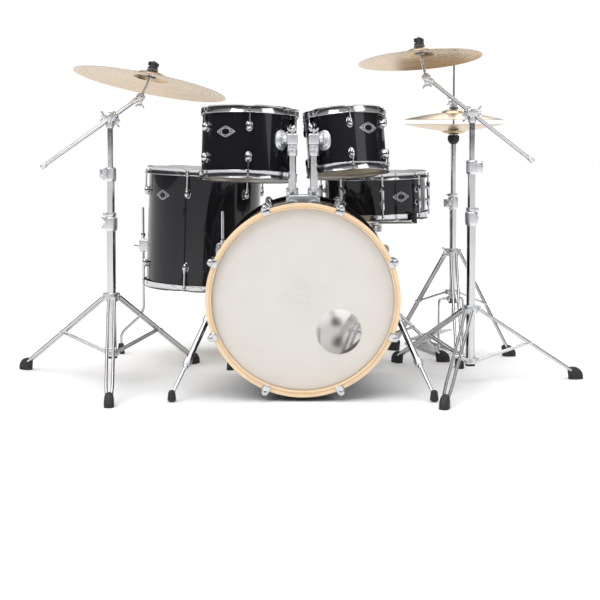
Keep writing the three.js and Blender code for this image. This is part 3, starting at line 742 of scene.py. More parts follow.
def badge(drum, name, azimuth, z, body):
    """A plain winged badge that follows the shell: a silver outline and a small ring on a black field."""
    fit = sizes()
    shape = Shape(drum.matrix)

    def loop(share, rise, power, flat=1.0):
        row = []
        for c, s in compass(64):
            stretch = share * squared(c, s, power)
            turn = azimuth + math.degrees(stretch * c * fit.badge_width / 2 / drum.radius)
            up = stretch * s * flat * fit.badge_height / 2
            row.append(drum.face(turn, z + up, drum.radius + rise).translation)
        return row

    def raised(outer, inner, power, flat):
        shape.skin([loop(outer, 0.0003, power, flat), loop(outer, 0.0013, power, flat),
                loop(inner, 0.0013, power, flat), loop(inner, 0.0003, power, flat)], closed=True)

    raised(1.0, 0.93, 1.15, 1.0)
    raised(0.86, 0.83, 1.15, 1.0)
    raised(0.52, 0.45, 2.0, 1.25)
    for side in (1, -1):
        for step in range(3):
            away = math.degrees(side * (0.31 + 0.05 * step) * fit.badge_width / drum.radius)
            shape.block((0.0022, 0.0035 - 0.0008 * step, 0.0014), drum.face(azimuth + away, z,
                    drum.radius + 0.0008), 0.0004, 1)
    shape.paint = 1
    shape.skin([loop(0.97, 0.0001, 1.15), loop(0.97, 0.0005, 1.15), loop(0.5, 0.0006, 1.15),
            loop(0.001, 0.0006, 1.15)])
    return shape.done(f"{name}_badge", ("silver", "wrap"), body, slot="cast_metal")


def dress_tom(name, body, azimuths, heights, badge_at, resonant=True):
    """Shell, heads, hoops, lugs, rods and badge of one steel-hooped tom."""
    drum = Drum(f"{name}_batter_head", f"{name}_top_hoop", f"{name}_bottom_hoop")
    shell(drum, f"{name}_shell", body)
    head(drum, 1, f"{name}_batter_head", body, "coated", "coated_head")
    if resonant:
        head(drum, -1, f"{name}_resonant_head", body, "amber", "clear_head")
    else:
        head_without_node(drum, name, body)
    steel_hoop(drum, 1, azimuths, f"{name}_top_hoop", body)
    steel_hoop(drum, -1, azimuths, f"{name}_bottom_hoop", body)
    oval_lugs(drum, name, azimuths, heights, body)
    tension_rods(drum, name, azimuths, [(1, heights[0]), (-1, heights[1])], body)
    badge(drum, name, badge_at[0], badge_at[1], body)
    return drum


def head_without_node(drum, name, body):
    """The lower head of a drum whose frame has none."""
    reach, face = drum.radius, drum.depth / 2 + FIT
    shape = Shape(drum.matrix)
    shape.lathe([(0, -face - FILM), (reach - 0.004, -face - FILM), (reach + 0.0012, -face - 0.0002),
            (reach + FLESH - 0.0004, -face + 0.0035), (reach + FLESH - 0.0004, -face + 0.0075),
            (reach + 0.001, -face + 0.0075), (reach - 0.004, -face - 0.0003), (0, -face - 0.0003)])
    return shape.done(f"{name}_lower_film", "amber", body, slot="clear_head")


# ---- bass drum ----
CLAWS = [22.5 + 45 * i for i in range(8)]
WOOD_HOOP = {"face": 0.026, "back": 0.013, "inner": 0.0015, "outer": 0.0195}  # from the shell's bearing edge


def bass():
    """Where the bass drum is, with +Z to its batter head."""
    return Drum("bass_batter_head", "bass_rear_hoop", "bass_front_hoop", BASS_FLESH)


def wood_hoop(drum, end, node):
    """A ply hoop: maple faces with a darker inlay, gloss wrap round its outer side."""
    inner, outer = drum.radius + WOOD_HOOP["inner"], drum.radius + WOOD_HOOP["outer"]
    inside, seat = drum.radius + BASS_FLESH + FIT, FIT * 2 + FILM
    back, face = -WOOD_HOOP["back"], WOOD_HOOP["face"]

    def placed(outline):
        return [(r, end * (drum.depth / 2 + z)) for r, z in outline]

    shape = Shape(drum.matrix)
    shape.lathe(placed([(outer, face - 0.0022), (outer - 0.0008, face - 0.0007), (outer - 0.0026, face),
            (inner + 0.0026, face), (inner + 0.0008, face - 0.0007), (inner, face - 0.0024), (inner, seat),
            (inside, seat), (inside, back)]), sides=160)
    shape.paint = 1
    shape.lathe(placed([(inside, back), (outer - 0.0016, back), (outer, back + 0.0014),
            (outer, face - 0.0022)]), sides=160)
    shape.paint = 2
    shape.lathe(placed([(inner + 0.0028, face - 0.0004), (inner + 0.0028, face + 0.00016),
            (inner + 0.0078, face + 0.00016), (inner + 0.0078, face - 0.0004)]), closed=True, sides=160)
    return shape.done(node + "_maple", ("maple", "wrap", "ply"), "kit_base", node, slot="maple_hoop")


def claws(drum, end, name):
    """Claw hooks over the hoop, each with a square-headed tension rod running back to its lug."""
    fit = sizes()
    outer, face, half = drum.radius + WOOD_HOOP["outer"], WOOD_HOOP["face"], drum.depth / 2
    hook = [(face + 0.0003, outer - 0.0155), (face + 0.0040, outer - 0.0150), (face + 0.0040, outer + 0.0015),
            (face - 0.003, outer + 0.0070), (-0.018, outer + 0.0070), (-0.018, outer + 0.0004),
            (face + 0.0003, outer + 0.0004)]
    hook = rounded(hook, 0.003, 3)
    stand = Matrix(((0, 1, 0, 0), (0, 0, -1, 0), (end, 0, 0, end * half), (0, 0, 0, 1)))
    shape = Shape(drum.matrix)
    for azimuth in CLAWS:
        turn = Matrix.Rotation(math.radians(azimuth - 90), 4, "Z")
        shape.prism(hook, 0.025, turn @ at(0, 0.0125, 0) @ stand, 0.0022, 3)
        rod = turn @ at(outer + 0.0062, 0, 0)
        flip = rod @ Matrix.Scale(end, 4, (0, 0, 1))
        shape.ring(0.0045, 0.0105, half - 0.016, half + face + 0.0035, 0.0018, flip, 28, steps=3)
        shape.rod(flip, 0.15, half + face - 0.001, fit.tension_rod + 0.0004, 14)
        shape.lathe([(0, half + face - 0.002), (0.0075, half + face - 0.002), (0.0075, half + face + 0.0045),
                (0.0062, half + face + 0.006), (0, half + face + 0.006)], flip, 24)
        shape.block((0.0072, 0.0072, 0.010), flip @ at(0, 0, half + face + 0.0095), 0.0009)
    return shape.done(name, "chrome", "kit_base")


def ported_head(drum, node):
    """The front head: white film with an off-centre round port and a slim reinforcing ring."""
    inverse = drum.matrix.inverted()
    local = [inverse @ Vector(v) for v in vertices(node)]
    edge = [p for p in local if 0.02 < math.hypot(p.x, p.y) < drum.radius - 0.02]
    centre = Vector(((min(p.x for p in edge) + max(p.x for p in edge)) / 2,
            (min(p.y for p in edge) + max(p.y for p in edge)) / 2, 0))
    port = max((Vector((p.x, p.y, 0)) - centre).length for p in edge)
    face, reach = -drum.depth / 2 - FIT, drum.radius - 0.004
    shape = Shape(drum.matrix)

    def out_from_port(share, z):
        row = []
        for c, s in compass(160):
            way = Vector((c, s, 0))
            along = centre.dot(way)
            rim = -along + math.sqrt(along * along - centre.length_squared + reach * reach)
            row.append(centre + way * (port + share * (rim - port)) + Vector((0, 0, z)))
        return row

    outside = [out_from_port(s, face - FILM) for s in (0, 0.02, 0.1, 0.3, 0.6, 0.9, 1)]
    inside = [out_from_port(s, face) for s in (1, 0.5, 0)]
    shape.skin(outside + inside, closed=True)
    shape.lathe([(reach, face - FILM), (reach + 0.0052, face - 0.0006),
            (drum.radius + BASS_FLESH - 0.0005, face + 0.003), (drum.radius + BASS_FLESH - 0.0005,
            face + 0.0078), (drum.radius + 0.001, face + 0.0078), (reach, face - 0.0002)], closed=True)
    head_piece = shape.done(node + "_film", "coated", "kit_base", node, slot="coated_head")
    trim = Shape(drum.matrix)
    place = Matrix.Translation(centre)
    trim.turned([(port - 0.0005, face - FILM - 0.0012), (port + 0.0035, face - FILM - 0.0006),
            (port + 0.0035, face - FILM), (port - 0.0005, face + 0.0008)], 0.0005, place, 96)
    trim.done("bass_port_ring", "coated", "kit_base", slot="clear_head")
    return head_piece


def spur_leg(name):
    """One bass drum spur: toothed base, folding tube, clamp with T bolt, inner rod and spiked foot."""
    drum = bass()
    hinge = pivot(f"{name}_spur_fold")
    foot = feet_of(f"{name}_spur_rod")[0]
    along = (foot + UP * 0.017 - hinge).normalized()
    out = (hinge - drum.matrix @ Vector((0, 0, (drum.matrix.inverted() @ hinge).z))).normalized()
    across = Vector((0, 1, 0))

    def reach(distance, aside=0.0):
        return hinge + along * distance + across * aside

    base = frame_along(hinge - out * 0.0152, out, across)
    shape = Shape()
    shape.turned([(0, 0), (0.0235, 0), (0.0235, 0.007), (0.021, 0.0085), (0.021, 0.0215), (0.018, 0.025),
            (0, 0.026)], 0.0012, base, 48)
    shape.teeth(20, 0.0222, 0.0092, (0.0024, 0.0032, 0.0026), base, 0.0005)
    shape.hexagon(0.014, 0.006, base @ at(0, 0, 0.0255))
    shape.paint = 1
    shape.tube([reach(0), reach(0.205)], 0.0095, 28)
    shape.paint = 0
    for distance in (0.03, 0.186):
        grip = frame_along(reach(distance), along, across)
        shape.ring(0.0092, 0.0132, -0.011, 0.011, 0.0015, grip, 32)
        shape.block((0.016, 0.014, 0.02), grip @ at(0.015, 0, 0), 0.002)
    shape.wing_bolt(frame_along(reach(0.03, 0.024), across, along), sizes().wing_span * 0.8)
    bolt = frame_along(reach(0.186, 0.022), across, along)
    shape.rod(bolt, -0.006, 0.016, 0.0036, 14)
    shape.tube([bolt @ Vector((-0.014, 0, 0.016)), bolt @ Vector((0.014, 0, 0.016))], 0.0036, 14)
    shape.done(f"{name}_spur_outer", ("cast", "chrome"), f"{name}_spur", f"{name}_spur_tube")

    rod = Shape()
    rod.tube([reach(0.11), foot + UP * 0.02], 0.0055, 20)
    rod.lathe([(0, 0.0), (0.0011, 0.001), (0.0038, 0.009), (0.0038, 0.014), (0, 0.014)],
            Matrix.Translation(foot), 20)
    rod.paint = 1
    rod.turned([(0.0042, 0.004), (0.0125, 0.004), (0.0135, 0.009), (0.0125, 0.016), (0.0105, 0.03),
            (0.0075, 0.036), (0.0042, 0.036)], 0.0012, Matrix.Translation(foot), 32)
    rod.done(f"{name}_spur_inner", ("chrome", "rubber"), f"{name}_spur_leg", f"{name}_spur_rod")


def tom_mount():
    """The cast double bracket on the bass shell that holds both tom posts."""
    low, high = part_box("tom_mount_bracket")
    drum = bass()
    centre = middle("tom_mount_bracket")
    half, top = (high[0] - low[0]) / 2, high[2]
    axis = drum.matrix.translation.z
    curve = drum.radius + FIT
    under = []
    for i in range(17):
        x = -half + 2 * half * i / 16
        under.append((x, axis + math.sqrt(curve ** 2 - x * x) - top))
    outline = under + [(half - 0.004, -0.014), (half - 0.014, -0.004), (half - 0.017, 0), (-half + 0.017, 0),
            (-half + 0.014, -0.004), (-half + 0.004, -0.014)]
    stand = at(centre.x, centre.y + 0.033, top) @ turned_about("X", 90)
    shape = Shape()
    shape.prism(outline, 0.066, stand, 0.0035, 3)
    for side in (-1, 1):
        mast = at(centre.x + side * 0.034, centre.y, top)
        shape.ring(0.0132, 0.0185, -0.004, -0.0002, 0.0006, mast, 40, steps=1)
        shape.wing_bolt(frame_along((centre.x + side * 0.034, centre.y - 0.036, top - 0.019), (0, -1, 0)),
                sizes().wing_span * 0.9)
    for x in (-half + 0.009, half - 0.009):
        for y in (-0.022, 0.022):
            shape.hexagon(0.009, 0.006, at(centre.x + x, centre.y + y, top - 0.0125))
    shape.done("tom_mount_casting", "cast", "kit_base", "tom_mount_bracket")


def dress_bass():
    """All of the bass drum: shell, heads, hoops, claws, lugs, tom mount and spurs."""
    drum = bass()
    shell(drum, "bass_shell", "kit_base")
    ported_head(drum, "bass_front_head")
    head(drum, 1, "bass_batter_head", "kit_base", "clear", "clear_head")
    wood_hoop(drum, -1, "bass_front_hoop")
    wood_hoop(drum, 1, "bass_rear_hoop")
    claws(drum, -1, "bass_front_claws")
    claws(drum, 1, "bass_rear_claws")
    oval_lugs(drum, "bass", CLAWS, (0.15, -0.15), "kit_base", 1.15, WOOD_HOOP["outer"] + 0.0065)
    tom_mount()
    spur_leg("left")
    spur_leg("right")


# ---- rack toms ----
def tom_post(name, side):
    """A tom post with its memory collar and the split housing that grips the tilting arm."""
    low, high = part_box(f"{name}_post")
    hub = pivot(f"{name}_tilt")
    x, y, _ = middle(f"{name}_post")
    shape = Shape()
    shape.tube([(x, y, low[2]), (x, y, high[2] - 0.05)], 0.0125, 40)
    shape.done(f"{name}_mast", "chrome", name.replace("tom", "post"), f"{name}_post")
    casting = Shape()
    collar = at(x, y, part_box("tom_mount_bracket")[1][2] + FIT)
    casting.ring(0.0126, 0.019, 0, 0.022, 0.002, collar, 44)
    casting.block((0.016, 0.012, 0.018), collar @ at(0, -0.021, 0.011), 0.002)
    casting.wing_bolt(frame_along((x, y - 0.028, collar.translation.z + 0.011), (0, -1, 0)),
            sizes().wing_span * 0.8)
    body = at(x, y, hub.z)
    casting.block((0.034, 0.031, 0.036), body @ at(0, 0, 0.0015), 0.006, 4)
    casting.block((0.030, 0.027, 0.02), body @ at(0, 0, -0.027), 0.005, 4)
    casting.ring(0.0126, 0.0165, -0.05, -0.03, 0.001, body, 40)
    for z in (-0.0275, 0.019):
        casting.hexagon(0.01, 0.006, frame_along((x, y - 0.0145, hub.z + z * 0.95), (0, -1, 0)))
    casting.wing_bolt(frame_along((x, y, hub.z + 0.024), (0, 0, 1)), sizes().wing_span * 0.8, 0.008)
    casting.done(f"{name}_tilter", "cast", name.replace("tom", "post"))


def tom_arm(name, side, drum):
    """The toothed hub, the arm and the oval bracket bolted to the tom's shell."""
    x, y, _ = middle(f"{name}_post")
    hub = Vector((x + side * 0.0174, y, pivot(f"{name}_tilt").z))
    azimuth, height = drum.azimuth_of(hub)
    place = drum.matrix @ drum.face(azimuth, height)
    shape = Shape()
    disc = frame_along(hub, (side, 0, 0), (0, 0, 1))
    shape.turned([(0, 0.0002), (0.015, 0.0002), (0.015, 0.0095), (0.012, 0.013), (0, 0.0135)], 0.0012, disc, 40)
    shape.teeth(16, 0.0145, 0.0028, (0.0018, 0.0026, 0.004), disc, 0.0004)
    shape.dome(0.05, 0.064, 0.006, place, 2.3)
    shape.dome(0.04, 0.052, 0.0115, place, 2.3)
    shape.hexagon(0.008, 0.006, place @ at(0, 0.0235, 0.0035))
    shape.hexagon(0.008, 0.006, place @ at(0, -0.0235, 0.0035))
    shape.block((0.022, 0.024, 0.014), place @ at(0, 0, 0.012), 0.003, 3)
    top = place @ Vector((0, 0.014, 0.013))
    shape.wing_bolt(frame_along(top, drum.matrix.to_3x3() @ UP, drum.matrix.to_3x3() @ Vector((1, 0, 0))),
            sizes().wing_span * 0.75, 0.006)
    shape.paint = 1
    shape.tube([hub + Vector((side * 0.007, 0, 0)), place @ Vector((0, 0, 0.004))], 0.0065, 28)
    shape.done(f"{name}_holder", ("cast", "chrome"), name, f"{name}_arm")


# ---- floor tom legs ----
def floor_tom_legs(drum):
    """Leg brackets with wing bolts on the shell, and the three bent legs with rubber feet."""
    brackets = Shape()
    for number in (1, 2, 3):
        upright = top_end(f"floor_tom_leg_{number}")
        foot = feet_of(f"floor_tom_leg_{number}")[0]
        middle_line = drum.matrix.translation
        out = Vector((upright.x - middle_line.x, upright.y - middle_line.y, 0)).normalized()
        leg_reach = Vector((upright.x - middle_line.x, upright.y - middle_line.y, 0)).length
        place = frame_along(Vector((middle_line.x, middle_line.y, 0.405)) + out * (drum.radius - 0.006), out,
                UP.cross(out))
        depth = leg_reach - drum.radius
        brackets.dome(0.034, 0.056, 0.013, place, 3.2)
        brackets.block((0.026, 0.044, depth + 0.018), place @ at(0, 0, (depth + 0.02) / 2), 0.004, 3)
        brackets.tube([place @ Vector((0, -0.025, depth + 0.006)), place @ Vector((0, 0.025, depth + 0.006))],
                0.0105, 28)
        brackets.wing_bolt(frame_along(place @ Vector((0, 0, depth + 0.021)), out, UP.cross(out)),
                sizes().wing_span)
        x, y = upright.x, upright.y
        path = smooth_path([(x, y, 0.545), (x, y, 0.155), (foot.x, foot.y, 0.075), (foot.x, foot.y, 0.02)],
                0.03, 8)
        leg = Shape()
        leg.tube(path, 0.0052, 20)
        leg.ring(0.0054, 0.0085, 0, 0.013, 0.001, at(x, y, 0.436), 24)
        leg.paint = 1
        profile = [(0, 0), (0.0125, 0), (0.0138, 0.003), (0.0125, 0.012), (0.0132, 0.014), (0.0125, 0.016),
                (0.0105, 0.034), (0.0075, 0.04), (0, 0.041)]
        leg.turned(profile, 0.001, Matrix.Translation(foot), 32)
        leg.done(f"floor_tom_bent_leg_{number}", ("chrome", "rubber"), f"floor_leg_{number}",
                f"floor_tom_leg_{number}")
    brackets.done("floor_tom_leg_brackets", "cast", "kit_base")


# ---- stands ----
STAND_COATS = ("chrome", "cast", "rubber")
FOOT_ROWS = (  # share of the foot's outline, height, and how far it is set back
    (0.94, 0, 0), (1, 0.003, 0), (1, 0.006, 0), (0.94, 0.008, 0), (1, 0.010, 0), (0.98, 0.02, 0.002),
    (0.88, 0.03, 0.006), (0.7, 0.037, 0.01), (0.4, 0.041, 0.012),
)


def rubber_foot(shape, foot, out):
    """A wedge-shaped rubber foot, ribbed where it meets the floor."""
    fit = sizes()
    place = frame_along(Vector((foot.x, foot.y, 0)), UP, out)
    length, width = fit.foot_length, fit.foot_width
    rows = []
    for share, z, back in FOOT_ROWS:
        row = []
        for c, s in compass(32):
            stretch = squared(c, s, 3)
            row.append(Vector((share * stretch * c * length / 2 - back - 0.004, share * stretch * s * width / 2,
                    z)))
        rows.append(row)
    shape.skin(rows, place, caps=(True, True))


def double_leg(shape, hip, toe, spacing, bar):
    """Two parallel bars from a collar's lug to a foot, with a rivet through each end."""
    along = (toe - hip).normalized()
    aside = along.cross(UP).normalized()
    for side in (1, -1):
        start, end = hip + aside * side * spacing * 0.5, toe + aside * side * spacing * 0.32
        bend = hip.lerp(toe, 0.86) + aside * side * spacing * 0.5
        path = smooth_path([start, bend, end], 0.02, 4)
        shape.tube(path, bar, 14)
    rivet = frame_along(hip, aside)
    shape.rod(rivet, -spacing * 0.5 - 0.006, spacing * 0.5 + 0.006, 0.0034, 14)


def tripod(shape, centre, feet, radius, collar, brace, bottom, top, clamp=True):
    """Double-braced legs round an outer tube; paints: 0 chrome, 1 cast, 2 rubber."""
    fit = sizes()
    x, y = centre.x, centre.y
    shape.paint = 0
    shape.ring(radius - 0.002, radius, bottom, top - 0.004, 0.0006, at(x, y, 0), 44, steps=1)
    shape.paint = 2
    shape.turned([(radius - 0.0015, bottom - 0.004), (radius + 0.0012, bottom - 0.004),
            (radius + 0.0012, bottom + 0.014), (radius + 0.0002, bottom + 0.014),
            (radius - 0.0015, bottom + 0.002)], 0.0008, at(x, y, 0), 36)
    shape.paint = 1
    for height, half, reach in ((collar, 0.014, 0.008), (brace, 0.010, 0.006)):
        shape.ring(radius + 0.0003, radius + reach, -half, half, 0.002, at(x, y, height), 44, steps=3)
    headings = []
    for foot in feet:
        out = Vector((foot.x - x, foot.y - y, 0)).normalized()
        headings.append(out)
        hip = Vector((x, y, collar)) + out * (radius + 0.013)
        low_hip = Vector((x, y, brace)) + out * (radius + 0.011)
        toe = Vector((foot.x, foot.y, 0.02)) - out * 0.006
        shape.paint = 1
        shape.block((0.018, 0.014, 0.024), frame_along(hip - out * 0.003, UP, out), 0.002)
        shape.block((0.014, 0.010, 0.018), frame_along(low_hip - out * 0.002, UP, out), 0.002)
        shape.paint = 0
        double_leg(shape, hip, toe, fit.leg_spacing, fit.leg_bar)
        joint_at = hip.lerp(toe, 0.52)
        double_leg(shape, low_hip, joint_at, fit.leg_spacing * 0.72, fit.brace_bar)
        aside = out.cross(UP)
        span = fit.leg_spacing * 0.5 + 0.009
        shape.tube([joint_at - aside * span, joint_at + aside * span], 0.0034, 14)
        for end in (1, -1):
            rivet = frame_along(joint_at + aside * end * (span - 0.0035), aside * end)
            shape.lathe([(0, 0), (0.0062, 0), (0.0062, 0.0022), (0, 0.003)], rivet, 16)
        shape.paint = 2
        rubber_foot(shape, foot, out)
    shape.paint = 1
    aim = headings[0] + headings[1]
    aim = aim.normalized() if aim.length > 0.1 else headings[0].cross(UP)
    shape.wing_bolt(frame_along(Vector((x, y, collar)) + aim * (radius + 0.016), aim, UP), fit.wing_span)
    if clamp:
        tube_clamp(shape, Vector((x, y, top)), radius, aim)


def tube_clamp(shape, top, radius, aim):
    """The height clamp at the top of a tube: split collar, two ears, a bolt and its wing nut."""
    aside = aim.cross(UP)
    place = frame_along(top, UP, aim)
    shape.turned([(radius - 0.0002, -0.046), (radius + 0.0035, -0.046), (radius + 0.006, -0.038),
            (radius + 0.006, -0.004), (radius + 0.0035, 0.0), (radius - 0.0022, 0.0), (radius - 0.0022, -0.006),
            (radius - 0.0002, -0.006)], 0.0015, place, 44)
    for side in (1, -1):
        ear = place @ at(radius + 0.012, side * 0.0062, -0.022)
        shape.block((0.02, 0.0085, 0.03), ear, 0.002)
    shape.tube([top + aim * (radius + 0.015) - UP * 0.022 + aside * d for d in (-0.018, 0.012)], 0.0032, 14)
    shape.hexagon(0.009, 0.005, frame_along(top + aim * (radius + 0.015) - UP * 0.022 + aside * 0.0105, aside))
    shape.wing_bolt(frame_along(top + aim * (radius + 0.015) - UP * 0.022 - aside * 0.013, -aside, UP),
            sizes().wing_span)


def memory_lock(shape, centre, radius, aim):
    """A split ring with a key screw, round a sliding tube just above its clamp."""
    place = frame_along(centre, UP, aim)
    shape.ring(radius + 0.0002, radius + 0.0052, 0, 0.011, 0.001, place, 40)
    shape.block((0.012, 0.012, 0.010), place @ at(radius + 0.007, 0, 0.0055), 0.0015)
    shape.tube([place @ Vector((radius + 0.009, d, 0.0055)) for d in (-0.011, 0.009)], 0.0022, 12)
    shape.block((0.0048, 0.006, 0.0048), place @ at(radius + 0.009, -0.0125, 0.0055), 0.0006)


# ---- cymbals ----
def cymbal_profile(radius, bell, bow, sheet, hole, crown=0.022, flip=1):
    """Closed outline of a cymbal from its edge (height 0) over the bow and bell and back below."""
    def rise(r):
        if r >= bell:
            return bow * (1 - ((r - bell) / (radius - bell)) ** 1.25)
        share = r / bell
        return bow + crown * (1 - share ** 2.6) ** 0.62
    steps = [radius - (radius - bell) * i / 34 for i in range(35)]
    steps += [bell - (bell - hole) * math.sin(math.pi / 2 * i / 14) for i in range(1, 15)]
    under = [(r, rise(r)) for r in steps]
    over = [(r, z + sheet * (0.55 + 0.45 * min(1, (radius - r) / 0.02))) for r, z in under]
    return [(r, flip * z) for r, z in under + over[::-1]]


def felt_washer(shape, base, height, reach=0.0185, hole=0.0045):
    """A thick felt washer standing on Z = height of its place."""
    shape.turned([(hole, height), (reach - 0.001, height), (reach, height + 0.002), (reach, height + 0.0065),
            (reach - 0.0015, height + 0.0085), (hole, height + 0.0085)], 0.0014, base, 36)


BOOMS = {  # heights and reaches of each boom stand in metres, angles in degrees
    "left": {
        "at": (-0.630, 0.340), "cymbal": "ride", "way": 1, "collar": 0.281, "bottom": 0.082, "lower": 0.522,
        "upper": 0.686, "angle": 35.2, "tail": 0.286, "reach": 0.117, "radius": 0.254, "bell": 0.062,
        "bow": 0.020, "rise": 0.050, "lean": 10.4, "back": 7.5, "offset": (0.024, 0, 0.012),
    },
    "right": {
        "at": (0.550, 0.320), "cymbal": "crash", "way": -1, "collar": 0.243, "bottom": 0.060, "lower": 0.540,
        "upper": 0.710, "angle": 38, "tail": 0.262, "reach": 0.186, "radius": 0.203, "bell": 0.055,
        "bow": 0.017, "rise": 0.058, "lean": -4, "back": 7, "offset": (-0.016, 0, 0.016),
    },
}
BOOM_TUBE, BOOM_ROD, BOOM_ARM = 0.0125, 0.009, 0.0065  # radii


def boom_stand(side):
    """One cymbal stand: tripod, height tubes, tilter, boom arm, cymbal and its felts."""
    fit, plan, name = sizes(), BOOMS[side], f"{side}_boom"
    centre = spot(*plan["at"], 0)
    knuckle = pivot(f"{name}_tilt")
    base = Shape()
    tripod(base, centre, feet_of(f"{name}_tripod"), 0.015, plan["collar"], plan["bottom"] + 0.014,
           plan["bottom"], plan["lower"] + 0.024)
    base.done(f"{name}_base", STAND_COATS, "kit_base", f"{name}_tripod")

    aim = Vector((-plan["way"], -0.35, 0)).normalized()
    tubes = Shape()
    tubes.tube([centre + UP * (plan["lower"] - 0.14), centre + UP * (plan["upper"] + 0.012)], BOOM_TUBE, 36)
    tubes.tube([centre + UP * (plan["upper"] - 0.02), centre + UP * (knuckle.z - 0.006)], BOOM_ROD, 32)
    tubes.paint = 1
    tube_clamp(tubes, centre + UP * (plan["upper"] + 0.022), BOOM_TUBE, aim)
    memory_lock(tubes, centre + UP * (plan["lower"] + 0.0262), BOOM_TUBE, aim)
    hub = frame_along((centre.x, centre.y - 0.009, knuckle.z), (0, 1, 0), UP)
    tubes.turned([(0, 0), (0.012, 0), (0.0175, 0.003), (0.0175, 0.018), (0, 0.018)], 0.0016, hub, 44)
    tubes.turned([(0.0092, -0.034), (0.0135, -0.034), (0.0125, -0.01), (0.0092, -0.01)], 0.001,
            at(centre.x, centre.y, knuckle.z), 36)
    tubes.hexagon(0.012, 0.005, frame_along((centre.x, centre.y - 0.0085, knuckle.z), (0, -1, 0)))
    tubes.wing_bolt(frame_along((centre.x - plan["way"] * 0.0175, centre.y, knuckle.z + 0.002),
            (-plan["way"], -0.2, 0.15), UP), fit.wing_span * 0.9)
    tubes.done(f"{name}_tubes", STAND_COATS, f"{name}_tube", f"{name}_upper_tube")

    cheek = centre.y + 0.0094
    arm_y = cheek + 0.024
    angle = math.radians(plan["angle"])
    up = Vector((plan["way"] * math.cos(angle), 0, math.sin(angle)))
    on_arm = Vector((centre.x, arm_y, knuckle.z))
    clamp = Shape()
    teeth = frame_along((centre.x, cheek, knuckle.z), (0, 1, 0), UP)
    clamp.turned([(0, 0.0003), (0.016, 0.0003), (0.016, 0.009), (0.0135, 0.014), (0, 0.014)], 0.0014, teeth, 44)
    clamp.teeth(18, 0.0155, 0.0028, (0.0018, 0.0026, 0.004), teeth, 0.0004)
    jaw = frame_along(on_arm, up, (0, 1, 0))
    clamp.turned([(0.0072, -0.021), (0.0125, -0.021), (0.0135, -0.019), (0.0135, 0.019), (0.0125, 0.021),
            (0.0072, 0.021)], 0.0012, jaw, 40)
    out_of_jaw = jaw.col[1].xyz * (1 if jaw.col[1].z > 0 else -1)
    for shift in (0.0052, -0.0052):
        cheek_at = on_arm - out_of_jaw * 0.0165 + Vector((0, shift, 0))
        clamp.block((0.019, 0.0075, 0.034), frame_along(cheek_at, up, -out_of_jaw), 0.0018)
    bolt_at = on_arm - out_of_jaw * 0.0185
    clamp.tube([bolt_at - Vector((0, 0.013, 0)), bolt_at + Vector((0, 0.015, 0))], 0.0032, 14)
    clamp.wing_bolt(frame_along(bolt_at + Vector((0, 0.0105, 0)), (0, 1, 0), -out_of_jaw), fit.wing_span)
    clamp.done(f"{name}_tilter_clamp", "cast", f"{name}_tilter", f"{name}_clamp")

    tip = on_arm + up * plan["reach"]
    arm = Shape()
    arm.tube([on_arm - up * (plan["tail"] - 0.012), tip - up * 0.004], BOOM_ARM, 32)
    for i in range(26):
        ridge = frame_along(on_arm - up * (plan["tail"] - 0.03 - 0.0035 * i), up)
        arm.lathe([(0.0064, 0), (0.00675, 0.0005), (0.00675, 0.0015), (0.0064, 0.002)], ridge, 28, closed=True)
    arm.paint = 1
    eye = frame_along(tip - Vector((0, 0.008, 0)), (0, 1, 0), UP)
    arm.turned([(0, 0), (0.010, 0), (0.0135, 0.003), (0.0135, 0.016), (0, 0.016)], 0.0012, eye, 36)
    arm.hexagon(0.009, 0.004, frame_along(tip - Vector((0, 0.0075, 0)), (0, -1, 0), UP))
    arm.turned([(0.0064, 0), (0.0092, 0), (0.0086, 0.018), (0.0064, 0.018)], 0.001,
            frame_along(tip - up * 0.026, up), 32)
    arm.wing_bolt(frame_along(tip - UP * 0.021, (-0.25 * plan["way"], -0.25, -1)), fit.wing_span * 0.8)
    arm.block((0.011, 0.012, 0.014), Matrix.Translation(tip - UP * 0.0145), 0.002)
    arm.turned([(0, 0), (0.0085, 0), (0.0085, 0.018), (0.0066, 0.021), (0, 0.021)], 0.0016,
            frame_along(on_arm - up * plan["tail"], up), 32)
    arm.done(f"{name}_rod_arm", STAND_COATS, f"{name}_rod", f"{name}_arm")

    body, cymbal = plan["cymbal"], f"{plan['cymbal']}_cymbal"
    pin = arm_y + 0.0084
    lean, back = math.radians(plan["lean"]), math.radians(plan["back"])
    normal = Vector((math.sin(lean), math.sin(back), 1)).normalized()
    foot = Vector((tip.x, pin + 0.007, tip.z))
    place = frame_along(foot + Vector(plan["offset"]), normal)
    edge = plan["rise"] - plan["bow"]
    plate = Shape(place @ at(0, 0, edge))
    plate.lathe(cymbal_profile(plan["radius"], plan["bell"], plan["bow"], fit.cymbal_sheet, 0.006), closed=True,
            sides=144)
    plate.done(f"{cymbal}_plate", "bronze", body, cymbal)
    bell_top = plan["rise"] + 0.022
    seat = Shape(place)
    seat.turned([(0, 0), (0.0135, 0), (0.0135, 0.011), (0.010, 0.014), (0, 0.014)], 0.0014,
            place.inverted() @ frame_along((tip.x, pin, tip.z), (0, 1, 0), UP), 36)
    crown = Vector((0, 0, plan["rise"] + 0.011))
    seat.tube([place.inverted() @ foot, crown], 0.0048, 24)
    seat.tube([crown - UP * 0.002, Vector((0, 0, bell_top - 0.010))], 0.0048, 24)
    seat.ring(0.004, 0.0165, bell_top - 0.0125, bell_top - 0.011, 0.0004, None, 36, steps=1)
    seat.thread((0, 0, bell_top - 0.012), (0, 0, bell_top + 0.040), 0.0032)
    seat.paint = 1
    felt_washer(seat, None, bell_top - 0.0104)
    felt_washer(seat, None, bell_top - 0.0202, 0.0165)
    felt_washer(seat, None, bell_top + 0.0022)
    seat.paint = 2
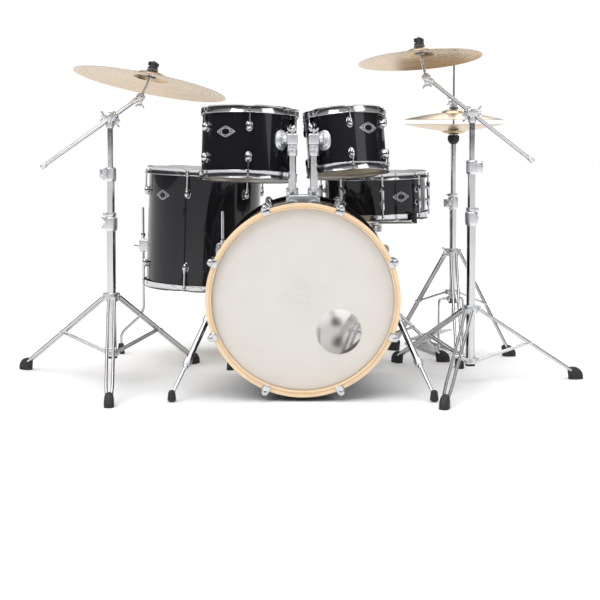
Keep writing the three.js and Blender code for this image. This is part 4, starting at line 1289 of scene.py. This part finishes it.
    seat.turned([(0.0034, bell_top + 0.0112), (0.0165, bell_top + 0.0112), (0.0165, bell_top + 0.0165),
            (0.0125, bell_top + 0.0185), (0.0115, bell_top + 0.034), (0.0034, bell_top + 0.036)], 0.0014, None,
            36)
    for turn in (0, math.pi):
        wing = Matrix.Rotation(turn + 0.5, 4, "Z") @ at(0.0125, 0, bell_top + 0.0265)
        seat.block((0.012, 0.0055, 0.013), wing, 0.0022, 3)
    seat.ring(0.0034, 0.0056, bell_top - 0.011, bell_top + 0.014, 0.0005, None, 20, steps=1)
    seat.done(f"{cymbal}_seat", ("chrome", "felt", "rubber"), body)


# ---- snare drum and its stand ----
SNARE_LUGS = [5 + 45 * i for i in range(8)]
BASKET_ARMS = (70, 190, 310)  # headings in the drum's own frame


def bridge_lugs(drum, name, azimuths, body):
    """Long bridge lugs that hold the rods of both hoops, on two small pillars each."""
    shape = Shape(drum.matrix)
    for azimuth in azimuths:
        place = drum.face(azimuth, 0)
        for z in (-0.022, 0.022):
            pillar = place @ at(0, z, 0)
            shape.dome(0.017, 0.02, 0.004, pillar, 2.4)
            shape.block((0.010, 0.012, 0.013), pillar @ at(0, 0, 0.0065), 0.0025, 3)
        post = [place @ Vector((0, z, sizes().lug_stand)) for z in (-0.043, -0.038, -0.014, 0, 0.014, 0.038,
                0.043)]
        shape.tube(post, 0.006, 20, radii=[0.0058, 0.0066, 0.0056, 0.0052, 0.0056, 0.0066, 0.0058])
    return shape.done(f"{name}_bridge_lugs", "chrome", body)


def dress_snare():
    """The snare drum with its wires and strainer."""
    drum = Drum("snare_batter_head", "snare_top_hoop", "snare_bottom_hoop")
    shell(drum, "snare_shell", "snare")
    head(drum, 1, "snare_batter_head", "snare", "coated", "coated_head")
    head_without_node(drum, "snare", "snare")
    steel_hoop(drum, 1, SNARE_LUGS, "snare_top_hoop", "snare")
    steel_hoop(drum, -1, SNARE_LUGS, "snare_bottom_hoop", "snare")
    bridge_lugs(drum, "snare", SNARE_LUGS, "snare")
    tension_rods(drum, "snare", SNARE_LUGS, [(1, 0.03), (-1, -0.03)], "snare")
    badge(drum, "snare", 27.5, 0, "snare")
    wires = Shape(drum.matrix)
    below = -drum.depth / 2 - FIT - FILM - 0.0016
    for i in range(20):
        x = -0.019 + 0.002 * i
        path = [(x, -0.155 + 0.31 * k / 60, below + 0.0004 * (k % 2)) for k in range(61)]
        wires.tube(path, 0.0007, 6)
    for y in (-0.158, 0.158):
        wires.block((0.046, 0.012, 0.0012), at(0, y, below), 0.0004, 1)
    wires.done("snare_wires", "chrome", "snare")
    throw_off(drum)
    return drum


def throw_off(drum):
    """The strainer on the player's side: backplate, hinged lever, adjuster knob and strap."""
    hinge = pivot("snare_release")
    azimuth, height = drum.azimuth_of(hinge)
    place = drum.matrix @ drum.face(azimuth, height)
    plate = Shape()
    plate.dome(0.026, 0.05, 0.003, place, 3.2)
    for aside in (-0.0145, 0.0145):
        plate.block((0.003, 0.02, 0.012), place @ at(aside, 0, 0.0075), 0.0008)
    plate.turned([(0, 0.020), (0.0065, 0.020), (0.0065, 0.032), (0, 0.033)], 0.001,
            place @ at(0, 0, 0.0095) @ turned_about("X", 90), 28)
    plate.block((0.018, 0.03, 0.0012), place @ at(0, -0.052, 0.0075), 0.0004, 1)
    plate.done("snare_strainer_plate", "cast", "snare")
    lever = Shape()
    shaft = drum.matrix.to_3x3() @ Vector((1, 0, 0))
    lever.tube([hinge - shaft * 0.0122, hinge + shaft * 0.0122], 0.0078, 28)
    stand = frame_along(hinge, place.col[2].xyz, shaft)
    outline = [(-0.0075, -0.004), (0.0075, -0.004), (0.0062, 0.028), (0.0085, 0.052), (0.0045, 0.061),
            (-0.0045, 0.061), (-0.0085, 0.052), (-0.0062, 0.028)]
    across = stand.col[1].xyz.dot(drum.matrix.to_3x3() @ UP)
    outline = [(x, y if across > 0 else -y) for x, y in outline]
    lever.prism(rounded(outline, 0.002, 3), 0.005, stand @ at(0, 0, -0.0005), 0.0014)
    lever.done("snare_strainer_lever", "cast", "throw_off", "snare_throw_off")


def snare_stand(drum):
    """Basket stand: low tripod, height tube, tilter, and three arms with rubber grips."""
    fit = sizes()
    hub = pivot("snare_tilt")
    centre = Vector((hub.x, hub.y, 0))
    base = Shape()
    tripod(base, centre, feet_of("snare_stand_tripod"), radius=0.012, collar=0.235, brace=0.090, bottom=0.070,
           top=0.400)
    base.paint = 1
    memory_lock(base, centre + UP * 0.4022, 0.009, Vector((-1, 0, 0)))
    base.done("snare_stand_base", STAND_COATS, "kit_base", "snare_stand_tripod")
    tube = Shape()
    tube.tube([centre + UP * 0.175, centre + UP * (hub.z - 0.006)], 0.009, 32)
    tube.paint = 1
    axle = frame_along(hub - Vector((0.009, 0, 0)), (1, 0, 0), UP)
    tube.ring(0, 0.013, 0, 0.018, 0.0014, axle, 40)
    tube.wing_bolt(frame_along(hub - Vector((0.0105, 0, 0)), (-1, 0, 0), (0, 1, 0)), fit.wing_span)
    tube.done("snare_stand_height_tube", ("chrome", "cast"), "snare_tube", "snare_stand_tube")

    inverse = drum.matrix.inverted()
    local = inverse @ hub
    basket = Shape(drum.matrix)
    basket.paint = 1
    ear = at(local.x + 0.0094, local.y, local.z) @ turned_about("Y", 90)
    basket.ring(0, 0.013, 0, 0.015, 0.0012, ear, 40)
    basket.block((0.015, 0.018, 0.026), at(local.x + 0.0169, local.y, local.z + 0.012), 0.002)
    basket.ring(0, 0.032, 0.015, 0.027, 0.0016, Matrix.Translation(local), 48)
    basket.paint = 0
    shelf = -(drum.depth / 2 + 0.013) - 0.008
    rim = drum.radius + 0.0187
    for heading in BASKET_ARMS:
        way = level(heading)
        aside = way.cross(UP)
        for side in (1, -1):
            start = local + UP * 0.021 + way * 0.014 + aside * side * 0.0065
            finish = way * rim + aside * side * 0.0065 + UP * shelf
            basket.tube([start, start.lerp(finish, 0.5), finish], 0.0042, 14)
        basket.tube([way * rim + UP * (shelf - 0.004), way * rim + UP * (shelf + 0.03)], 0.0045, 16)
        basket.block((0.012, 0.018, 0.008), frame_along(way * rim + UP * shelf, UP, way), 0.0015)
    basket.paint = 2
    for heading in BASKET_ARMS:
        way = level(heading)
        grip = frame_along(way * rim + UP * (shelf - 0.007), UP, way)
        basket.lathe([(0.0046, 0.005), (0.0085, 0.005), (0.0092, 0.009), (0.0088, 0.012), (0.0092, 0.015),
                (0.0088, 0.018), (0.0092, 0.021), (0.0088, 0.024), (0.0092, 0.027), (0.0088, 0.030),
                (0.0092, 0.033), (0.0098, 0.039), (0.0085, 0.043), (0.0046, 0.0435)], grip, 28, closed=True)
    basket.paint = 0
    basket.turned([(0, -0.003), (0.014, -0.003), (0.014, 0.012), (0, 0.014)], 0.002,
            Matrix.Translation(local + UP * 0.002) @ turned_about("X", 180) @ at(0, 0, -0.011), 32)
    basket.done("snare_stand_basket", STAND_COATS, "snare", "snare_basket")


# ---- hi-hat ----
HAT_RADIUS, HAT_BELL = 0.178, 0.045
HAT_GAP = 0.016  # between the two cymbals' edges


def hihat():
    """The hi-hat: tripod with its pedal frame, height tube, both cymbals, pull rod and clutch."""
    fit = sizes()
    rest = middle("hihat_upper_tube")
    centre = Vector((rest.x, rest.y, 0))
    feet = sorted(feet_of("hihat_tripod"), key=lambda p: -(p - centre).length)
    feet = [p for p in feet if 0.19 < (p - centre).length < 0.28][:3]
    base = Shape()
    tripod(base, centre, feet, radius=0.0125, collar=0.383, brace=0.236, bottom=0.200, top=0.585)
    along = level(110)
    aside = along.cross(UP)
    half, shoulder = 0.049, 0.212
    base.paint = 0
    for side in (1, -1):
        path = [centre + along * 0.010 + aside * side * 0.012 + UP * shoulder,
                centre + along * 0.010 + aside * side * (half - 0.004) + UP * shoulder,
                centre + along * 0.010 + aside * side * half + UP * (shoulder - 0.02),
                centre + along * 0.010 + aside * side * half + UP * 0.006]
        base.tube(smooth_path(path, 0.012, 5), 0.005, 16)
        runner = [centre + along * 0.010 + aside * side * half + UP * 0.0052,
                centre + along * 0.3 + aside * side * half + UP * 0.0052]
        base.tube(runner, 0.0045, 14)
    base.paint = 1
    for distance, depth in ((0.010, 0.014), (0.300, 0.018)):
        place = frame_along(centre + along * distance + UP * 0.0042, UP, along)
        base.block((depth, 2 * half + 0.010, 0.008), place, 0.0015)
    for side in (1, -1):
        ear = frame_along(centre + along * 0.288 + aside * side * 0.0475 + UP * 0.018, UP, along)
        base.block((0.02, 0.004, 0.032), ear, 0.0012)
    base.block((0.02, 0.034, 0.02), frame_along(centre + along * 0.004 + UP * shoulder, UP, along), 0.003)
    base.done("hihat_base", STAND_COATS, "kit_base", "hihat_tripod")

    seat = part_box("hihat_upper_tube")[1][2]
    tube = Shape()
    tube.tube([centre + UP * 0.323, centre + UP * (seat - 0.028)], 0.0095, 32)
    tube.paint = 1
    memory_lock(tube, centre + UP * 0.5872, 0.0095, Vector((-0.7, -0.7, 0)).normalized())
    tube.paint = 2
    tube.turned([(0, -0.034), (0.011, -0.034), (0.0195, -0.024), (0.021, -0.018), (0.021, -0.006),
            (0.0185, -0.0032), (0, -0.0032)], 0.0014, Matrix.Translation(centre + UP * seat), 44)
    tube.lathe([(0.0186, -0.022), (0.0205, -0.021), (0.0205, -0.019), (0.0186, -0.018)],
            Matrix.Translation(centre + UP * (seat + 0.006)), 44, closed=True)
    tube.paint = 3
    tube.ring(0.0036, 0.0165, -0.0034, -0.0004, 0.0009, Matrix.Translation(centre + UP * seat), 36)
    tube.done("hihat_height_tube", ("chrome", "cast", "rubber", "felt"), "hihat_tube", "hihat_upper_tube")

    low_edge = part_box("hihat_bottom_cymbal")[1][2]
    crown = low_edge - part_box("hihat_bottom_cymbal")[0][2] - 0.0016
    bow = crown - 0.013
    bottom = Shape(Matrix.Translation(centre + UP * low_edge))
    bottom.lathe(cymbal_profile(HAT_RADIUS, HAT_BELL, bow, fit.cymbal_sheet, 0.0055, 0.013, -1), closed=True,
            sides=128)
    bottom.done("hihat_bottom_plate", "bronze", "hihat_tube", "hihat_bottom_cymbal")

    top_edge = low_edge + HAT_GAP
    top = Shape(Matrix.Translation(centre + UP * top_edge))
    top.lathe(cymbal_profile(HAT_RADIUS, HAT_BELL, bow, fit.cymbal_sheet, 0.0045, 0.013), closed=True,
            sides=128)
    top.done("hihat_top_plate", "bronze", "hihat_rod", "hihat_top_cymbal")
    rod_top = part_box("hihat_top_cymbal")[1][2]
    bell = top_edge + crown
    rod = Shape()
    rod.tube([centre + UP * 0.128, centre + UP * rod_top], 0.003, 18)
    rod.tube([centre + UP * (bell - 0.013), centre + UP * (bell + 0.044)], 0.0055, 24)
    for low, high, reach in ((-0.0165, -0.0105, 0.011), (0.012, 0.016, 0.0125), (0.0165, 0.0205, 0.0125)):
        rod.ring(0.0054, reach, low, high, 0.0008, Matrix.Translation(centre + UP * bell), 32)
    rod.paint = 1
    rod.ring(0.0056, 0.0095, 0.022, 0.042, 0.0012, Matrix.Translation(centre + UP * bell), 32)
    rod.wing_bolt(frame_along(centre + UP * (bell + 0.032) - Vector((0.0105, 0, 0)), (-1, 0, 0), UP),
            fit.wing_span * 0.8, 0.004)
    rod.paint = 2
    felt_washer(rod, Matrix.Translation(centre), bell + 0.0022, 0.0165, 0.0056)
    felt_washer(rod, Matrix.Translation(centre), bell - 0.0104, 0.0145, 0.0056)
    rod.done("hihat_pull_rod", ("chrome", "cast", "felt"), "hihat_rod")
    hat_board(centre, along, aside)


def tread(shape, place, length, width, thickness):
    """A pedal's footboard: framed plate with rows of raised grip bars, +Y to the toe."""
    outline = [(-width * 0.5, 0), (width * 0.5, 0), (width * 0.5, length * 0.62), (width * 0.36, length),
            (-width * 0.36, length), (-width * 0.5, length * 0.62)]
    plate = rounded(outline, 0.012, 4)
    shape.prism(plate, thickness * 0.6, place @ at(0, 0, -thickness / 2), 0.0012)
    for share in (0.14, 0.24, 0.34, 0.44, 0.54, 0.64, 0.74, 0.84):
        reach = width * (0.74 if share < 0.6 else 0.74 - 0.7 * (share - 0.6))
        shape.block((reach, 0.0075, 0.003), place @ at(0, length * share, thickness * 0.22), 0.0012)
    for side in (1, -1):
        shape.block((0.003, length * 0.56, 0.004), place @ at(side * width * 0.465, length * 0.33,
                thickness * 0.2), 0.0012)


def hat_board(centre, along, aside):
    """The hi-hat's footboard, hinged at the heel."""
    heel = pivot("hihat_pedal_press")
    run = Vector((-along.x * math.cos(math.asin(0.068 / 0.245)), -along.y * math.cos(math.asin(0.068 / 0.245)),
            0.068 / 0.245))
    place = frame_along(heel, run.cross(aside) if run.cross(aside).z > 0 else -run.cross(aside), aside)
    if place.col[1].xyz.dot(run) < 0:
        place = frame_along(heel, place.col[2].xyz, -aside)
    board = Shape()
    tread(board, place, 0.243, 0.08, 0.0075)
    board.tube([heel - aside * 0.044, heel + aside * 0.044], 0.006, 20)
    board.done("hihat_tread", "cast", "hihat_pedal", "hihat_footboard")


# ---- kick pedal ----
BEATER_LEAN = 36  # degrees from upright towards the player, at rest
BEATER_REACH = 0.158


def kick_pedal():
    """The bass drum pedal: frame, spring, footboard and beater."""
    fit = sizes()
    axle, heel = pivot("beater_swing"), pivot("kick_press")
    low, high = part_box("kick_pedal_base")
    x = axle.x
    base = Shape()
    base.block((0.088, high[1] - low[1] - 0.04, 0.005), at(x, (low[1] + high[1]) / 2 + 0.018, 0.0034), 0.0012)
    base.block((0.044, 0.046, 0.008), at(x, low[1] + 0.023, 0.0042), 0.002)
    for side in (1, -1):
        outline = [(-0.013, 0.004), (0.016, 0.004), (0.0105, 0.05), (0.0105, axle.z + 0.004),
                (0.006, axle.z + 0.011), (-0.006, axle.z + 0.011), (-0.0105, axle.z + 0.004), (-0.0105, 0.05)]
        post = at(x + side * 0.042 - 0.004, axle.y, 0) @ Matrix(((0, 0, 1, 0), (1, 0, 0, 0), (0, 1, 0, 0),
                (0, 0, 0, 1)))
        base.prism(rounded(outline, 0.004, 3), 0.008, post, 0.0012)
        base.ring(0.0066, 0.0115, 0, 0.0025, 0.0008, frame_along((x + side * 0.046, axle.y, axle.z),
                (side, 0, 0)), 28)
        base.block((0.008, 0.022, 0.028), at(x + side * 0.042, heel.y, heel.z - 0.004), 0.002)
    base.wing_bolt(frame_along((x + 0.03, low[1] + 0.03, 0.009), UP), fit.wing_span * 0.8, 0.003)
    base.done("kick_pedal_frame", "cast", "kit_base", "kick_pedal_base")

    spring = Shape()
    coil = [(x + 0.056 + 0.0045 * math.cos(TURN * k / 12), axle.y + 0.0045 * math.sin(TURN * k / 12),
            0.06 + 0.085 * k / 144) for k in range(145)]
    spring.tube(coil, 0.0009, 8)
    spring.tube([(x + 0.056, axle.y, 0.03), (x + 0.056, axle.y, 0.06)], 0.002, 12)
    spring.tube([(x + 0.046, axle.y, 0.031), (x + 0.059, axle.y, 0.031)], 0.003, 12)
    spring.done("kick_pedal_spring", "chrome", "kit_base")

    low_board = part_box("kick_footboard")
    toe = Vector((x, low_board[0][1], low_board[1][2]))
    run = (toe - Vector((x, heel.y, heel.z))).normalized()
    length = (toe - Vector((x, heel.y, heel.z))).length - 0.004
    place = frame_along((x, heel.y, heel.z), Vector((-1, 0, 0)).cross(run) if Vector((-1, 0,
            0)).cross(run).z > 0 else Vector((1, 0, 0)).cross(run))
    if place.col[1].xyz.dot(run) < 0:
        place = place @ Matrix.Rotation(math.pi, 4, "Z")
    board = Shape()
    tread(board, place, length, 0.069, 0.0075)
    board.tube([(x - 0.0372, heel.y, heel.z), (x + 0.0372, heel.y, heel.z)], 0.0068, 20)
    board.done("kick_tread", "cast", "kick_board", "kick_footboard")

    rest = math.radians(BEATER_LEAN)
    up = Vector((0, math.sin(rest), math.cos(rest)))
    ball = axle + up * BEATER_REACH
    striker = Shape()
    striker.tube([(x - 0.049, axle.y, axle.z), (x + 0.049, axle.y, axle.z)], 0.006, 16)
    striker.tube([axle - up * 0.012, ball + up * 0.018], 0.004, 20)
    striker.paint = 1
    striker.block((0.02, 0.02, 0.024), frame_along(axle, up), 0.003, 3)
    striker.ring(0.0132, 0.021, -0.006, 0.006, 0.001, at(x + 0.018, axle.y, axle.z) @ turned_about("Y", 90), 40)
    striker.block((0.008, 0.012, 0.034), at(x + 0.0555, axle.y, axle.z - 0.006), 0.0016)
    striker.wing_bolt(frame_along(axle + Vector((-0.011, 0, 0)), (-1, 0, 0), up), fit.wing_span * 0.6, 0.003)
    striker.paint = 2
    way = frame_along(ball, Vector((0, -math.cos(rest), math.sin(rest))))
    striker.turned([(0, -0.021), (0.0165, -0.021), (0.0225, -0.015), (0.0225, 0.013), (0.0195, 0.0205),
            (0, 0.0225)], 0.003, way, 44, steps=3)
    striker.done("kick_striker", ("chrome", "cast", "felt"), "beater", "kick_beater")


# ---- throne ----
CLOTH_FRAMES, PRESSURE = 20, 4.0  # of the short run that pumps the seat


def throne():
    """The drummer's throne: tripod, threaded post with its seat boss, and the seat."""
    fit = sizes()
    low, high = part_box("throne_seat")
    centre = middle("throne_seat")
    floor_centre = Vector((centre.x, centre.y, 0))
    base = Shape()
    tripod(base, floor_centre, feet_of("throne_tripod"), radius=0.014, collar=0.300, brace=0.109, bottom=0.095,
           top=0.330, clamp=False)
    base.paint = 1
    base.ring(0.0118, 0.0185, -0.012, 0.0, 0.0014, Matrix.Translation(floor_centre + UP * 0.330), 36)
    base.ring(0.0118, 0.022, 0, 0.008, 0.0016, Matrix.Translation(floor_centre + UP * 0.3306), 6)
    base.done("throne_base", STAND_COATS, "kit_base", "throne_tripod")

    post = Shape()
    post.thread(floor_centre + UP * 0.145, floor_centre + UP * (low[2] - 0.04), 0.011, 0.0042, 32)
    post.paint = 1
    post.turned([(0, -0.062), (0.016, -0.062), (0.019, -0.058), (0.03, -0.022), (0.034, -0.012),
            (0.034, -0.0006), (0, -0.0006)], 0.0016, Matrix.Translation(floor_centre + UP * low[2]), 48)
    post.wing_bolt(frame_along(floor_centre + UP * (low[2] - 0.036) - Vector((0, 0.0225, 0)), (0, -1, 0)),
            fit.wing_span)
    post.done("throne_column_post", ("chrome", "cast"), "throne_column", "throne_post", slot="cast_metal")
    throne_seat(floor_centre, low[2], high[2], (high[0] - low[0]) / 2)


def throne_seat(centre, under, top, reach):
    """The padded seat: crowned top panel, stitched welt, gathered side band and base board."""
    depth = top - under
    profile = [(0, 0.004), (reach * 0.55, 0.004), (reach - 0.02, 0.003), (reach - 0.008, 0.008),
            (reach - 0.002, 0.02), (reach, depth * 0.45), (reach - 0.002, depth * 0.66),
            (reach - 0.008, depth * 0.80), (reach - 0.02, depth * 0.90), (reach - 0.045, depth * 0.96),
            (reach * 0.5, depth * 0.995), (0, depth)]
    cushion = Shape(Matrix.Translation(centre + UP * under))

    def gathers(angle, radius, height):
        share = max(0.0, 1 - abs(height - depth * 0.4) / (depth * 0.4))
        fold = 0.0009 * math.sin(angle * 31) + 0.0006 * math.sin(angle * 53 + 1)
        return (radius + (fold * share if radius > reach - 0.03 else 0), height)

    cushion.lathe(rounded(profile, 0.004, 3, closed=False), sides=160, form=gathers)
    piece = cushion.done("throne_seat_cushion", "vinyl", "seat", "throne_seat")
    swell(piece, 0.004)

    trim = Shape(Matrix.Translation(centre + UP * under))
    for height, inset in ((depth * 0.80, 0.0075), (0.0105, 0.0055)):
        welt = [((reach - inset) * math.cos(TURN * i / 120), (reach - inset) * math.sin(TURN * i / 120),
                height) for i in range(121)]
        trim.tube(welt, 0.0024, 12)
    trim.done("throne_seat_welts", "vinyl", "seat")
    stitches = Shape(Matrix.Translation(centre + UP * under))
    for c, s in compass(150):
        way, aside = Vector((c, s, 0)), Vector((-s, c, 0))
        middle_of = way * (reach - 0.0148) + UP * (depth * 0.872)
        stitches.tube([middle_of - aside * 0.0018, middle_of + aside * 0.0018], 0.00045, 6)
    stitches.done("throne_seat_stitching", "rubber", "seat", slot="black_vinyl")
    board = Shape(Matrix.Translation(centre + UP * under))
    board.ring(0, reach - 0.022, 0, 0.006, 0.0014, sides=96)
    board.done("throne_seat_board", "felt", "seat", slot="black_vinyl")


def swell(piece, cap):
    """Pumps the cushion with a short cloth run, then keeps each point within cap of where it started."""
    mesh = piece.data
    before = np.empty(3 * len(mesh.vertices))
    mesh.vertices.foreach_get("co", before)
    cloth = piece.modifiers.new("Pump", "CLOTH")
    cloth.settings.use_pressure = True
    cloth.settings.uniform_pressure_force = PRESSURE
    cloth.settings.effector_weights.gravity = 0.0
    cloth.point_cache.frame_start, cloth.point_cache.frame_end = 1, CLOTH_FRAMES
    scene = bpy.context.scene
    for frame_number in range(1, CLOTH_FRAMES + 1):
        scene.frame_set(frame_number)
    pumped = piece.evaluated_get(bpy.context.evaluated_depsgraph_get()).data
    after = np.empty_like(before)
    pumped.vertices.foreach_get("co", after)
    piece.modifiers.remove(cloth)
    scene.frame_set(1)
    before, after = before.reshape(-1, 3), after.reshape(-1, 3)
    moved = after - before
    length = np.linalg.norm(moved, axis=1, keepdims=True)
    moved *= np.minimum(1, cap / np.maximum(length, 1e-9))
    moved[before[:, 2] < 0.012] = 0
    mesh.vertices.foreach_set("co", (before + moved).ravel())
    mesh.update()


# ---- stage, light and camera ----
SKY_GREYS = (  # from the nadir to the zenith
    (0.0, 0.5), (0.49, 0.3), (0.52, 0.08), (0.6, 0.1), (0.68, 0.7), (0.82, 0.95), (1.0, 0.95),
)
SKY_STRENGTH = 0.6
SUN = {"strength": 2.2, "spread": 70, "lean": (14, -8)}
SOFT_LIGHTS = (  # name, place, aim, width and depth, watts
    ("key_light", (-2.6, -4.4, 3.6), (0, 0, 0.5), (2.6, 2.0), 60),
    ("fill_light", (3.4, -3.6, 2.6), (0, 0, 0.5), (2.4, 2.4), 30),
    ("top_light", (0, 0.6, 4.2), (0, 0, 0.4), (3.4, 2.6), 16),
    ("rim_light", (1.6, 3.4, 2.8), (0, 0, 0.8), (2.2, 1.4), 26),
)
CAMERA = {"at": (0, -4.2, 0.85), "lens": 83.2, "shift": (-0.005, -0.132), "tip": 4.0}
FLOOR_REACH = 40


def soft_light(name, spot_at, aim, width, power):
    data = bpy.data.lights.new(name, "AREA")
    data.shape, data.size, data.size_y, data.energy = "RECTANGLE", width[0], width[1], power
    lamp = bpy.data.objects.new(name, data)
    lamp.matrix_world = frame_along(spot_at, Vector(spot_at) - Vector(aim))
    bpy.context.collection.objects.link(lamp)


def sky():
    """Plain white where it is seen; a dark horizon under a bright ceiling where it is reflected."""
    world = bpy.data.worlds.new("studio_air")
    bpy.context.scene.world = world
    world.use_nodes = True
    tree = world.node_tree
    ramp = tree.nodes.new("ShaderNodeValToRGB")
    for _ in SKY_GREYS[2:]:
        ramp.color_ramp.elements.new(0.5)
    for element, (position, grey) in zip(ramp.color_ramp.elements, SKY_GREYS):
        element.position, element.color = position, (grey, grey, grey * 1.01, 1)
    split = tree.nodes.new("ShaderNodeSeparateXYZ")
    lift = tree.nodes.new("ShaderNodeMath")
    lift.operation = "MULTIPLY_ADD"
    lift.inputs[1].default_value, lift.inputs[2].default_value = 0.5, 0.5
    tree.links.new(tree.nodes.new("ShaderNodeTexCoord").outputs["Generated"], split.inputs[0])
    tree.links.new(split.outputs["Z"], lift.inputs[0])
    tree.links.new(lift.outputs[0], ramp.inputs[0])
    tree.links.new(ramp.outputs[0], tree.nodes["Background"].inputs["Color"])
    tree.nodes["Background"].inputs["Strength"].default_value = SKY_STRENGTH
    seen = tree.nodes.new("ShaderNodeBackground")
    seen.inputs["Color"].default_value = (1, 1, 1, 1)
    choose = tree.nodes.new("ShaderNodeMixShader")
    tree.links.new(tree.nodes.new("ShaderNodeLightPath").outputs["Is Camera Ray"], choose.inputs[0])
    tree.links.new(tree.nodes["Background"].outputs[0], choose.inputs[1])
    tree.links.new(seen.outputs[0], choose.inputs[2])
    tree.links.new(choose.outputs[0], tree.nodes["World Output"].inputs["Surface"])
    bpy.context.scene.view_settings.view_transform = "Standard"


def overhead():
    """An even overhead light, so that the floor is the same white all the way out."""
    data = bpy.data.lights.new("overhead", "SUN")
    data.energy, data.angle = SUN["strength"], math.radians(SUN["spread"])
    lamp = bpy.data.objects.new("overhead", data)
    lamp.rotation_euler = (*map(math.radians, SUN["lean"]), 0)
    bpy.context.collection.objects.link(lamp)


def studio_floor():
    """A wide pale floor, level with the feet of the stands."""
    shape = bmesh.new()
    bmesh.ops.create_grid(shape, x_segments=24, y_segments=24, size=FLOOR_REACH)
    mesh = bpy.data.meshes.new("studio_floor")
    shape.to_mesh(mesh)
    shape.free()
    mesh.materials.append(coat_named("floor"))
    floor = bpy.data.objects.new("studio_floor", mesh)
    bpy.context.collection.objects.link(floor)


def eye():
    data = bpy.data.cameras.new("kit_camera")
    data.lens, data.sensor_width = CAMERA["lens"], 36.0
    data.shift_x, data.shift_y = CAMERA["shift"]
    data.clip_end = 60
    camera = bpy.data.objects.new("kit_camera", data)
    camera.location = spot(*CAMERA["at"])
    camera.rotation_euler = (math.radians(90 - CAMERA["tip"]), 0, 0)
    bpy.context.collection.objects.link(camera)
    bpy.context.scene.camera = camera


# ---- operators ----
class KitOperator(bpy.types.Operator):
    bl_options = {"REGISTER", "UNDO"}

    def execute(self, context):
        self.make()
        return {"FINISHED"}


class DRUMKIT_OT_stage(KitOperator):
    """Adds the floor, the soft lights and the camera"""
    bl_idname, bl_label = "drum_kit.stage", "Stage and Camera"

    def make(self):
        studio_floor()
        sky()
        overhead()
        for light in SOFT_LIGHTS:
            soft_light(*light)
        eye()


class DRUMKIT_OT_bass(KitOperator):
    """Adds the bass drum with its hoops, claws, heads, tom mount and spurs"""
    bl_idname, bl_label = "drum_kit.bass", "Bass Drum"

    def make(self):
        dress_bass()


class DRUMKIT_OT_rack_toms(KitOperator):
    """Adds both rack toms with their posts, tilters and arms"""
    bl_idname, bl_label = "drum_kit.rack_toms", "Rack Toms"

    def make(self):
        for name, side, first, badge_at in (("mid_tom", -1, 2, -27), ("high_tom", 1, 5.5, 34)):
            drum = dress_tom(name, name, [first + 60 * i for i in range(6)], (0.049, -0.049), (badge_at, 0.03))
            tom_post(name, side)
            tom_arm(name, side, drum)


class DRUMKIT_OT_floor_tom(KitOperator):
    """Adds the floor tom and its three sliding legs"""
    bl_idname, bl_label = "drum_kit.floor_tom", "Floor Tom"

    def make(self):
        azimuths = [-13 + 60 * i for i in range(6)]
        drum = dress_tom("floor_tom", "kit_base", azimuths, (0.13, -0.13), (-43, 0.12), resonant=False)
        floor_tom_legs(drum)


class DRUMKIT_OT_snare(KitOperator):
    """Adds the snare drum and its basket stand"""
    bl_idname, bl_label = "drum_kit.snare", "Snare Drum and Stand"

    def make(self):
        snare_stand(dress_snare())


class DRUMKIT_OT_hihat(KitOperator):
    """Adds the hi-hat with its stand, cymbals, clutch and footboard"""
    bl_idname, bl_label = "drum_kit.hihat", "Hi-Hat"

    def make(self):
        hihat()


class DRUMKIT_OT_booms(KitOperator):
    """Adds both boom stands with the ride and the crash cymbal"""
    bl_idname, bl_label = "drum_kit.booms", "Boom Stands and Cymbals"

    def make(self):
        boom_stand("left")
        boom_stand("right")


class DRUMKIT_OT_pedal(KitOperator):
    """Adds the bass drum pedal with its beater"""
    bl_idname, bl_label = "drum_kit.pedal", "Bass Drum Pedal"

    def make(self):
        kick_pedal()


class DRUMKIT_OT_throne(KitOperator):
    """Adds the drummer's throne with its padded seat"""
    bl_idname, bl_label = "drum_kit.throne", "Throne"

    def make(self):
        throne()


OPERATORS = (DRUMKIT_OT_stage, DRUMKIT_OT_bass, DRUMKIT_OT_rack_toms, DRUMKIT_OT_floor_tom, DRUMKIT_OT_snare,
        DRUMKIT_OT_hihat, DRUMKIT_OT_booms, DRUMKIT_OT_pedal, DRUMKIT_OT_throne)


class DRUMKIT_PT_sidebar(bpy.types.Panel):
    bl_idname, bl_label = "DRUMKIT_PT_sidebar", "Drum Kit"
    bl_space_type, bl_region_type, bl_category = "VIEW_3D", "UI", "Drum Kit"

    def draw(self, context):
        for operator in OPERATORS:
            self.layout.operator(operator.bl_idname)
        for group in (context.scene.drum_kit_sizes, context.scene.drum_kit_finishes):
            column = self.layout.column(align=True)
            for key in group.__annotations__:
                column.prop(group, key)


CLASSES = (DrumKitSizes, DrumKitFinishes, *OPERATORS, DRUMKIT_PT_sidebar)


def register():
    for made in CLASSES:
        bpy.utils.register_class(made)
    bpy.types.Scene.drum_kit_sizes = PointerProperty(type=DrumKitSizes)
    bpy.types.Scene.drum_kit_finishes = PointerProperty(type=DrumKitFinishes)


def unregister():
    del bpy.types.Scene.drum_kit_finishes
    del bpy.types.Scene.drum_kit_sizes
    for made in reversed(CLASSES):
        bpy.utils.unregister_class(made)


def main():
    register()
    for operator in OPERATORS:
        group, name = operator.bl_idname.split(".")
        getattr(getattr(bpy.ops, group), name)()


if __name__ == "__main__":
    main()
